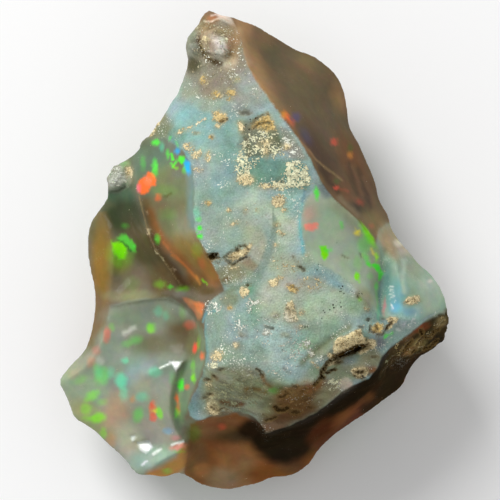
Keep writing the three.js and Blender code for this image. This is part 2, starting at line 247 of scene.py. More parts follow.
RIND = Patch(
    (231, 17), (240, 34), (243, 47), (247, 64), (255, 80), (269, 100), (284, 120), (299, 140),
    (311, 160), (320, 180), (334, 199), (347, 210), (358, 221), (370, 236), (381, 252), (383, 278),
    (381, 300), (382, 320), (392, 318), (404, 320), (420, 320), (441, 309), (431, 317), (420, 325),
    (410, 333), (398, 342), (388, 350), (381, 358), (377, 369), (369, 378), (354, 385), (341, 392),
    (330, 402), (317, 412), (304, 419), (290, 425), (276, 430), (266, 433), (259, 421), (249, 414),
    (236, 411), (223, 411), (214, 415), (204, 419), (196, 420), (190, 416), (188, 408), (192, 398),
    (198, 387), (202, 375), (205, 364), (206, 352), (205, 338), (204, 324), (205, 311), (209, 302),
    (216, 296), (224, 291), (219, 277), (213, 264), (205, 250), (196, 233), (194, 212), (194, 188),
    (192, 167), (185, 153), (176, 146), (166, 139), (154, 136), (146, 134), (150, 110), (160, 80),
    (175, 40), (195, 15), (212, 5),
)
# The soft edge of the rind's colours, in pixels.
RIND_EDGE = 2
SMOOTH_FACET = Patch(
    (319, 187), (309, 196), (302, 207), (300, 220), (302, 236), (306, 250), (315, 262), (334, 272),
    (350, 282), (364, 296), (374, 308), (381, 320), (380, 292), (382, 270), (381, 252), (370, 236),
    (358, 221), (347, 210), (334, 199),
)
RIGHT_LOBE = Patch(
    (380, 228), (375, 250), (376, 270), (374, 300), (380, 318), (404, 322), (424, 322), (446, 308),
    (455, 300), (440, 270), (410, 240), (395, 220),
)
ROUGH_GROUND = Patch(
    (205, 366), (216, 367), (231, 364), (245, 365), (258, 371), (271, 379), (286, 383), (301, 384),
    (316, 384), (324, 372), (330, 402), (317, 412), (304, 419), (290, 425), (276, 430), (266, 433),
    (259, 421), (249, 414), (236, 411), (223, 411), (214, 415), (204, 412), (203, 385),
)
DARK_ROUGH_BAND = Patch(
    (452, 305), (444, 309), (433, 317), (421, 325), (411, 333), (399, 343), (390, 351), (384, 362),
    (380, 378), (396, 372), (408, 362), (424, 352), (440, 344), (455, 330),
)
BROWN_FACE = Patch(
    (234, 34), (237, 47), (242, 64), (250, 80), (264, 100), (279, 120), (294, 140), (306, 160),
    (315, 180), (329, 199), (342, 210), (353, 221), (365, 236), (376, 250), (420, 250), (400, 190),
    (370, 110), (345, 50), (300, 20), (232, 8),
)
LOBE = Patch(
    (110, 306), (125, 302), (141, 299), (156, 298), (167, 297), (176, 301), (185, 308), (195, 317),
    (197, 332), (195, 347), (190, 358), (182, 363), (176, 373), (172, 386), (170, 400), (171, 416),
    (175, 429), (183, 441), (187, 450), (190, 480), (130, 490), (40, 400), (60, 360), (96, 354),
    (103, 340), (107, 323),
)
FOOT = Patch(
    (190, 424), (214, 417), (236, 413), (262, 424), (270, 434), (310, 420), (346, 394), (384, 364),
    (398, 350), (452, 326), (440, 380), (330, 500), (180, 500), (188, 452),
)

# ---------------------------------------------------------------- colour washes, laid one over another

def washes(*rows):
    """Washes, each given as a shape, the colour that a screen shows, and its soft edge in pixels."""
    return [(shape, colour(*shown), soft) for shape, shown, soft in rows]


BROKEN_GROUND = washes(
    # The steep glassy break at the upper right.
    (BROWN_FACE, (104, 85, 60), 3),
    (Line((243, 26), (247, 50), (254, 68), (265, 88), (284, 112), width=18), (154, 122, 84), 20),
    (Line((240, 30), (243, 46), (248, 62), width=6), (166, 136, 100), 7),
    (Blob(276, 60, 18, 50, 30), (88, 80, 58), 18),
    (Blob(262, 38, 24, 16, 30), (116, 94, 66), 14),
    (Blob(300, 40, 70, 18, -30), (98, 74, 46), 14),
    (Blob(300, 92, 50, 70, 20), (104, 90, 66), 30),
    (Blob(318, 154, 26, 56, 30), (82, 64, 48), 20),
    (Blob(332, 116, 34, 60, 10), (104, 92, 70), 22),
    (Blob(352, 160, 18, 60, 25), (114, 79, 50), 14),
    (Blob(344, 190, 34, 22, -30), (108, 78, 54), 14),
    (Blob(366, 196, 14, 44, 24), (96, 75, 54), 12),
    (Blob(358, 208, 20, 12), (68, 58, 42), 10),
    (Blob(376, 226, 24, 34, 30), (124, 106, 70), 16),
    (Blob(340, 98, 14, 26, 10), (146, 116, 78), 14),
    (Blob(306, 62, 20, 14, -20), (116, 98, 70), 10),
    (Line((284, 112), (298, 136), (312, 160), (322, 180), width=4), (124, 96, 64), 6),
    (Line((322, 168), (330, 182), (338, 191), width=5), (74, 56, 38), 8),
    (Line((340, 198), (348, 207), (357, 215), width=5), (120, 102, 78), 7),
    # A painted highlight along the ridge.
    (Line((300, 141), (308, 150), (317, 160), (326, 168), (334, 174), (342, 180), width=2),
     (138, 112, 76), 3),
    (Line((350, 164), (352, 178), (357, 192), width=5), (84, 65, 47), 9),
    (Line((358, 170), (363, 182), (367, 196), (371, 208), width=4), (80, 62, 45), 8),
    (Line((353, 166), (358, 180), (362, 194), width=2.5), (114, 86, 60), 6),
    (Line((364, 178), (369, 190), (375, 203), width=2.5), (114, 88, 62), 6),
    # The upper shell-shaped break on the left.
    (Blob(168, 130, 40, 60), (118, 126, 108), 20),
    (Blob(158, 124, 12, 24, -30), (146, 146, 126), 10),
    (Blob(150, 165, 40, 50), (98, 116, 96), 18),
    (Blob(172, 185, 44, 40), (118, 126, 92), 22),
    (Blob(172, 222, 44, 40), (116, 116, 84), 20),
    (Blob(186, 230, 24, 34), (142, 140, 112), 16),
    (Blob(155, 207, 22, 16, -20), (122, 112, 82), 12),
    (Blob(190, 254, 44, 28, -45), (140, 116, 62), 14),
    (Blob(211, 272, 24, 34, 30), (142, 102, 58), 12),
    (Blob(196, 282, 22, 18, -40), (94, 74, 38), 10),
    (Line((190, 166), (192, 186), (191, 206), (193, 226), width=8), (116, 138, 130), 8),
    (Line((146, 202), (149, 216), (155, 232), (166, 252), width=7), (122, 100, 68), 8),
    (Line((150, 240), (160, 256), (172, 272), (184, 286), width=12), (80, 60, 36), 9),
    (Line((150, 212), (162, 238), (176, 254), (188, 266), (198, 279), width=6), (146, 98, 54), 10),
    (Line((172, 256), (181, 263), (189, 270), (197, 278), width=1.6), (190, 116, 58), 3),
    (Line((163, 242), (172, 254), (179, 261), width=1.4), (176, 110, 64), 2.5),
    (Line((192, 252), (204, 262), (214, 276), width=5), (150, 112, 58), 8),
    (Blob(208, 291, 16, 8), (96, 80, 48), 6),
    (Patch((182, 297), (192, 300), (204, 304), (203, 314), (199, 320), (190, 308)), (176, 122, 86), 3),
    (Patch((192, 302), (204, 304), (202, 314), (197, 310)), (212, 124, 74), 4),
    (Blob(176, 293, 20, 8, -10), (134, 128, 116), 6),
    (Blob(165, 291, 7, 4), (140, 136, 148), 5),
    (Line((163, 197), (168, 196), (172, 193), width=1.2), (96, 84, 52), 2.5),
    # The lower shell-shaped break on the left.
    (Blob(120, 200, 34, 36), (72, 94, 72), 14),
    (Blob(109, 210, 16, 18), (104, 104, 82), 8),
    (Blob(124, 216, 44, 34), (58, 66, 42), 16),
    # Dark brown, partly painted shade on the steep wall left of the rib.
    (Blob(146, 256, 26, 70, 25), (88, 80, 54), 18),
    (Blob(99, 230, 18, 26), (104, 104, 70), 12),
    (Blob(102, 264, 20, 84), (136, 106, 46), 11),
    (Blob(136, 282, 44, 34), (116, 106, 84), 18),
    (Blob(119, 264, 22, 20), (124, 126, 66), 12),
    (Blob(162, 280, 26, 30, 30), (102, 88, 56), 14),
    (Blob(130, 296, 44, 10), (136, 136, 100), 8),
    # The milky lobe at the lower left.
    (LOBE, (142, 150, 132), 4),
    (Blob(96, 324, 18, 58, -4), (120, 98, 68), 8),
    (Blob(80, 366, 50, 22, 32), (144, 150, 126), 12),
    (Blob(140, 318, 60, 26), (132, 141, 122), 16),
    (Blob(112, 344, 30, 32), (139, 152, 136), 14),
    (Blob(182, 334, 34, 34), (98, 86, 60), 22),
    (Blob(140, 372, 84, 40), (130, 144, 130), 24),
    (Blob(154, 344, 50, 22), (110, 110, 86), 16),
    (Blob(140, 378, 30, 30), (136, 156, 158), 18),
    (Blob(84, 386, 44, 30, -30), (148, 166, 140), 16),
    (Blob(92, 418, 50, 26, -35), (152, 156, 112), 12),
    (Blob(118, 416, 30, 44), (176, 154, 130), 16),
    (Blob(150, 398, 44, 50), (154, 160, 140), 18),
    (Blob(148, 426, 30, 16), (164, 158, 146), 12),
    (Blob(160, 436, 40, 18), (154, 152, 138), 12),
    (Blob(130, 440, 26, 38, 30), (180, 180, 156), 12),
    (Blob(150, 458, 50, 20, 14), (154, 178, 158), 12),
    (Line((152, 478), (166, 472), (182, 462), (186, 452), width=15), (184, 136, 68), 8),
    # Painted shade: a thin dark line just under the lobe's upper ridge.
    (Line((112, 307), (126, 304), (141, 301), (157, 299), (168, 299), (184, 308), (196, 318), width=1.4),
     (102, 104, 82), 5),
    (Line((176, 372), (173, 386), (171, 402), (173, 418), (179, 432), width=3), (136, 152, 122), 4),
    # The steep strip between the lobe and the satin front.
    (Patch((197, 322), (206, 340), (204, 366), (192, 392), (184, 420), (190, 440), (176, 428),
           (173, 400), (180, 372), (194, 350)), (118, 138, 110), 6),
    (Blob(194, 344, 14, 30), (114, 112, 78), 8),
    (Line((182, 372), (178, 392), (178, 410), (182, 424), width=5), (128, 156, 112), 6),
    (Blob(190, 432, 26, 22), (128, 138, 116), 10),
    # The dark break along the foot.
    (FOOT, (132, 86, 48), 3),
    (Blob(212, 428, 50, 18, 10), (130, 98, 64), 10),
    (Blob(222, 424, 32, 10, 0), (126, 82, 54), 8),
    (Blob(196, 456, 22, 44), (122, 92, 60), 12),
    (Blob(202, 470, 16, 16), (166, 112, 68), 9),
    (Blob(240, 460, 44, 40), (152, 106, 66), 22),
    (Blob(224, 480, 36, 26), (146, 122, 90), 14),
    (Blob(246, 474, 20, 30), (150, 118, 80), 12),
    (Blob(266, 474, 40, 18), (134, 82, 42), 12),
    (Blob(238, 436, 46, 13), (84, 66, 42), 10),
    (Blob(292, 466, 30, 16, -10), (108, 74, 48), 10),
    # Near black: partly the stone's deep brown, partly painted shade under the satin front's edge.
    (Blob(284, 440, 66, 46, -6), (40, 32, 21), 14),
    (Blob(280, 455, 30, 14), (36, 30, 20), 10),
    (Blob(250, 428, 26, 18, 20), (40, 29, 17), 9),
    (Line((262, 440), (300, 428), (330, 410), (358, 392), (384, 368), (394, 352), width=20),
     (32, 25, 15), 10),
    (Line((320, 446), (346, 426), (366, 409), width=13), (96, 58, 42), 12),
    (Line((366, 409), (384, 395), (402, 382), width=13), (56, 40, 26), 10),
    (Blob(322, 430, 32, 16, 40), (74, 40, 22), 10),
    (Blob(378, 388, 16, 12, 40), (44, 31, 19), 9),
    # Dark partly as its own brown and partly as painted shade, since the band faces down and away.
    (DARK_ROUGH_BAND, (61, 52, 32), 6),
    (Patch((384, 368), (400, 361), (418, 353), (434, 344), (450, 334), (444, 352), (420, 370), (404, 388),
           (386, 400), (376, 396)), (46, 36, 23), 7),
    (Blob(419, 344, 14, 8, 36), (150, 126, 80), 5),
    (Blob(441, 322, 14, 9, 42), (138, 118, 80), 5),
    (Blob(409, 351, 11, 6, 34), (148, 116, 70), 5),
    (Blob(406, 337, 26, 8, 36), (104, 78, 52), 6),
    (Blob(422, 328, 16, 7, 25), (122, 66, 40), 4),
    (Blob(436, 342, 14, 12, 30), (42, 36, 28), 6),
    (Blob(397, 350, 16, 14, 40), (76, 63, 40), 7),
    (Line((403, 351), (408, 345), (413, 340), width=2.5), (28, 20, 12), 3),
    (Blob(442, 309, 8, 5, -50), (166, 166, 148), 4),
    # The lobe at the far right.
    (RIGHT_LOBE, (146, 170, 147), 4),
    (Blob(392, 242, 22, 38, 24), (160, 142, 110), 9),
    (Blob(404, 254, 16, 12, -40), (178, 172, 150), 8),
    (Blob(412, 266, 26, 18, -40), (142, 158, 134), 8),
    (Blob(387, 284, 10, 34), (110, 146, 138), 8),
    (Blob(397, 298, 18, 36, -8), (114, 167, 171), 10),
    (Line((404, 262), (402, 276), (404, 292), width=4), (172, 194, 172), 6),
    (Blob(414, 312, 34, 16, 20), (160, 196, 188), 10),
    (Blob(408, 311, 16, 9), (132, 172, 186), 6),
    (Blob(430, 296, 28, 36), (172, 194, 174), 12),
    (Blob(397, 308, 10, 8), (122, 184, 202), 6),
    (Blob(398, 243, 9, 7), (206, 198, 172), 5),
    (Blob(430, 281, 5, 3), (206, 210, 194), 3),
)

SATIN_GROUND = washes(
    # The pointed end and its knobs.
    (Blob(218, 60, 74, 110), (142, 134, 114), 22),
    (Blob(208, 16, 24, 20), (128, 106, 80), 5),
    (Blob(213, 18, 14, 6), (160, 112, 78), 4),
    (Patch((217, 15), (225, 14), (235, 17), (244, 23), (236, 26), (226, 23), (219, 19)),
     (206, 196, 178), 4),
    (Line((203, 21), (213, 21), (221, 18), (228, 21), width=1.6), (208, 186, 164), 2),
    (Line((211, 15.5), (218, 15), (226, 18), width=1.4), (222, 202, 184), 2),
    (Blob(204, 31, 20, 16, 10), (150, 130, 96), 8),
    # Partly the knob's own pale grey, partly painted highlight, and painted light on its lower right.
    (Blob(221, 50, 17, 36, 33), (228, 222, 204), 10),
    (Blob(228, 56, 12, 20, 33), (226, 212, 186), 8),
    (Line((222, 44), (227, 51), (231, 58), width=2.5), (232, 230, 216), 3),
    (Blob(221, 51, 10, 12, 33), (214, 212, 198), 7),
    (Blob(208, 44, 12, 20, 30), (168, 156, 134), 7),
    (Blob(233, 42, 15, 44, -6), (164, 134, 102), 9),
    (Blob(225, 31, 26, 10), (150, 132, 100), 8),
    (Blob(192, 46, 14, 40), (138, 142, 124), 8),
    (Blob(194, 66, 15, 16), (88, 84, 62), 9),
    # Painted shade in the crease under the knob.
    (Line((199, 40), (201, 50), (206, 57), (213, 61), (222, 64), width=4.5), (78, 60, 36), 5),
    (Blob(215, 61, 10, 4, -20), (86, 70, 46), 4),
    (Blob(192, 92, 24, 26), (146, 158, 136), 14),
    (Blob(218, 84, 44, 30), (138, 133, 116), 18),
    (Blob(252, 90, 24, 40, 30), (152, 158, 148), 14),
    (Blob(230, 104, 18, 14), (158, 172, 158), 8),
    # The ground under the large patch of crust.
    (Blob(244, 112, 24, 14, -10), (136, 148, 138), 8),
    (Patch((238, 122), (262, 118), (276, 126), (288, 150), (262, 160), (244, 160)), (108, 116, 96), 8),
    (Patch((278, 124), (290, 130), (308, 160), (296, 164), (284, 148)), (142, 148, 136), 6),
    (Patch((236, 158), (262, 158), (300, 160), (310, 176), (308, 190), (242, 188)), (110, 146, 132), 8),
    # The middle, from blue on the left to grey-green on the right.
    (Blob(198, 122, 54, 40), (134, 172, 168), 20),
    (Blob(159, 126, 26, 34, 30), (127, 133, 108), 9),
    (Blob(177, 138, 16, 22, -20), (116, 154, 144), 8),
    (Blob(213, 106, 28, 12), (152, 164, 146), 8),
    (Blob(228, 150, 18, 70), (120, 150, 146), 14),
    (Blob(204, 176, 30, 40), (150, 170, 162), 18),
    (Blob(184, 152, 14, 20, -30), (114, 164, 164), 9),
    (Blob(222, 204, 56, 50), (138, 160, 150), 20),
    (Blob(258, 206, 46, 36), (176, 194, 176), 18),
    (Blob(232, 228, 60, 40), (156, 174, 158), 20),
    (Blob(283, 196, 34, 10), (146, 184, 178), 8),
    (Line((300, 194), (294, 214), (298, 236), (302, 254), width=10), (158, 192, 186), 9),
    (Blob(286, 228, 26, 44), (190, 202, 184), 12),
    (Blob(276, 262, 46, 30), (170, 188, 170), 14),
    (Blob(216, 182, 14, 26), (134, 164, 158), 9),
    (Blob(292, 208, 14, 22), (154, 184, 174), 9),
    (Blob(256, 244, 24, 40, 20), (172, 180, 152), 12),
    (Blob(249, 269, 16, 16, -40), (162, 172, 146), 8),
    (Patch((273, 210), (273, 224), (271, 236), (265, 251), (258.5, 266), (252.5, 276), (246, 284),
           (232, 290), (250, 291), (259, 283), (266, 271), (272, 256), (277, 240), (277, 220)),
     (142, 163, 150), 3),
    (Blob(230, 274, 44, 20, 12), (140, 144, 116), 12),
    (Patch((236, 263), (244, 259), (250, 257), (258, 265), (254, 272), (246, 268)),
     (150, 142, 112), 6),
    (Blob(226, 279, 8, 4), (116, 98, 66), 4),
    (Blob(232, 290, 24, 6, 20), (120, 134, 118), 5),
    (Blob(214, 320, 26, 50), (138, 162, 146), 16),
    (Blob(230, 300, 20, 16), (132, 142, 118), 9),
    (Blob(236, 325, 26, 26), (150, 170, 162), 14),
    (Blob(256, 300, 18, 46), (128, 160, 138), 12),
    (Blob(252, 290, 10, 8), (116, 164, 136), 6),
    (Blob(236, 352, 50, 20), (140, 160, 142), 12),
    (Blob(282, 348, 60, 44), (180, 204, 196), 22),
    (Blob(322, 352, 22, 12, 30), (150, 164, 136), 8),
    (Blob(256, 352, 22, 24), (148, 170, 156), 12),
    (Blob(284, 300, 50, 50), (182, 192, 172), 22),
    (Blob(330, 304, 70, 36, 16), (188, 206, 180), 18),
    (Blob(318, 334, 50, 22, 24), (160, 192, 164), 14),
    (Blob(298, 336, 24, 12), (164, 196, 184), 10),
    (Blob(313, 374, 20, 12, 20), (156, 174, 150), 8),
    # Painted shade in the shallow groove above and left of the crusted lump.
    (Line((303, 362), (316, 350), (332, 340), (348, 328), width=7), (124, 134, 104), 9),
    (Line((203, 310), (204, 330), (206, 352), (204, 372), width=5), (112, 152, 150), 5),
    (Blob(196, 396, 20, 46, -12), (112, 142, 142), 12),
    # The rough ground under the fold.
    (ROUGH_GROUND, (142, 146, 112), 22),
    (Blob(232, 392, 50, 20), (134, 138, 110), 16),
    (Blob(254, 406, 34, 12, -8), (150, 158, 130), 8),
    (Blob(228, 379, 20, 8, -10), (158, 158, 134), 7),
    (Line((222, 402), (232, 404), (242, 404), width=5), (120, 92, 60), 5),
    (Line((246, 388), (256, 389), (266, 392), width=5), (116, 96, 58), 6),
    (Line((263, 376), (266, 383), (272, 388), width=4), (130, 98, 66), 5),
    (Blob(277, 390, 14, 8), (110, 124, 84), 7),
    (Blob(298, 400, 58, 28, 14), (108, 80, 46), 14),
    (Blob(291, 393, 26, 12, 14), (132, 100, 64), 9),
    (Blob(314, 387, 26, 9, 24), (134, 94, 58), 7),
    (Blob(290, 416, 60, 16, 16), (96, 70, 44), 10),
    (Blob(274, 427, 36, 10, 10), (122, 94, 74), 6),
    (Blob(346, 368, 40, 28, 30), (146, 154, 128), 10),
    (Blob(352, 360, 16, 8, 20), (138, 160, 150), 6),
    (Blob(330, 392, 34, 16, 30), (142, 138, 108), 8),
    (Blob(346, 384, 14, 13, -30), (196, 188, 170), 4),
    (Blob(372, 358, 24, 20), (146, 144, 118), 10),
    (Blob(380, 342, 10, 12), (120, 124, 128), 7),
    (Blob(372, 370, 12, 8), (142, 98, 66), 6),
    # The smooth break on the right, and the lobe beyond it.
    (SMOOTH_FACET, (170, 186, 162), 4),
    (Blob(326, 190, 22, 14, -40), (118, 130, 128), 8),
    (Line((338, 206), (356, 224), (370, 244), (380, 266), (380, 290), width=18), (156, 166, 140), 12),
    (Blob(328, 232, 34, 40), (172, 192, 164), 14),
    (Blob(352, 262, 24, 30), (164, 182, 154), 12),
    (Blob(364, 298, 16, 20, 20), (154, 160, 132), 8),
    (Blob(354, 306, 18, 18), (166, 190, 160), 10),
    (Blob(310, 256, 18, 16), (170, 190, 168), 8),
    (Line((302, 205), (300, 220), (301, 238), (304, 254), width=3), (124, 192, 188), 4),
    (Blob(332, 281, 34, 8, -28), (146, 178, 184), 7),
    (Blob(310, 214, 16, 16), (184, 170, 152), 12),
    (Line((383, 248), (384, 270), (381, 296), (382, 314), width=5), (126, 154, 146), 5),
)

# Fine lines over both grounds.
SHARP_LINES = washes(
    (Line((139, 196), (143, 212), (148, 231), (154, 247), (163, 260), (173, 274), (180, 284), width=0.7),
     (132, 116, 80), 1.6),
    (Line((273, 207), (273, 224), (271, 236), (265, 251), (258.5, 266), (252.5, 276), (246, 284),
          (229, 290), width=0.8), (130, 150, 134), 1.8),
    (Blob(128, 174, 5, 14, 10), (168, 152, 126), 4),
    (Line((305, 191), (304, 196), (302, 202), width=1.5), (112, 150, 160), 3),
    (Line((215, 311), (205, 314), (203, 322), width=1.2), (104, 160, 166), 2.5),
)
SIDE_KNOB = washes(
    (Blob(118, 177, 26, 32, -35), (140, 150, 130), 5),
    (Blob(117, 180, 18, 10, 20), (206, 208, 196), 5),
    (Blob(120, 170, 12, 6, 30), (166, 168, 150), 4),
    (Blob(125, 164, 9, 6), (122, 160, 110), 5),
    (Line((111, 192), (118, 191), (125, 187), width=2.5), (70, 80, 60), 4),
)

# ---------------------------------------------------------------- sandy crust

CREAM = colour(224, 224, 188)
BUFF = colour(236, 217, 168)
TAN = colour(223, 206, 161)
OCHRE = colour(202, 176, 116)
SANDSTONE = colour(212, 188, 134)
PALE = colour(224, 228, 214)
SCATTER = colour(224, 214, 180)
SANDY = colour(182, 174, 144)
MOSSY = colour(150, 152, 118)
CHALKY = colour(206, 210, 194)
BROWNISH = colour(138, 108, 66)
OLIVE = colour(164, 144, 92)
STAIN = colour(150, 140, 104)
CAKED = colour(186, 174, 134)

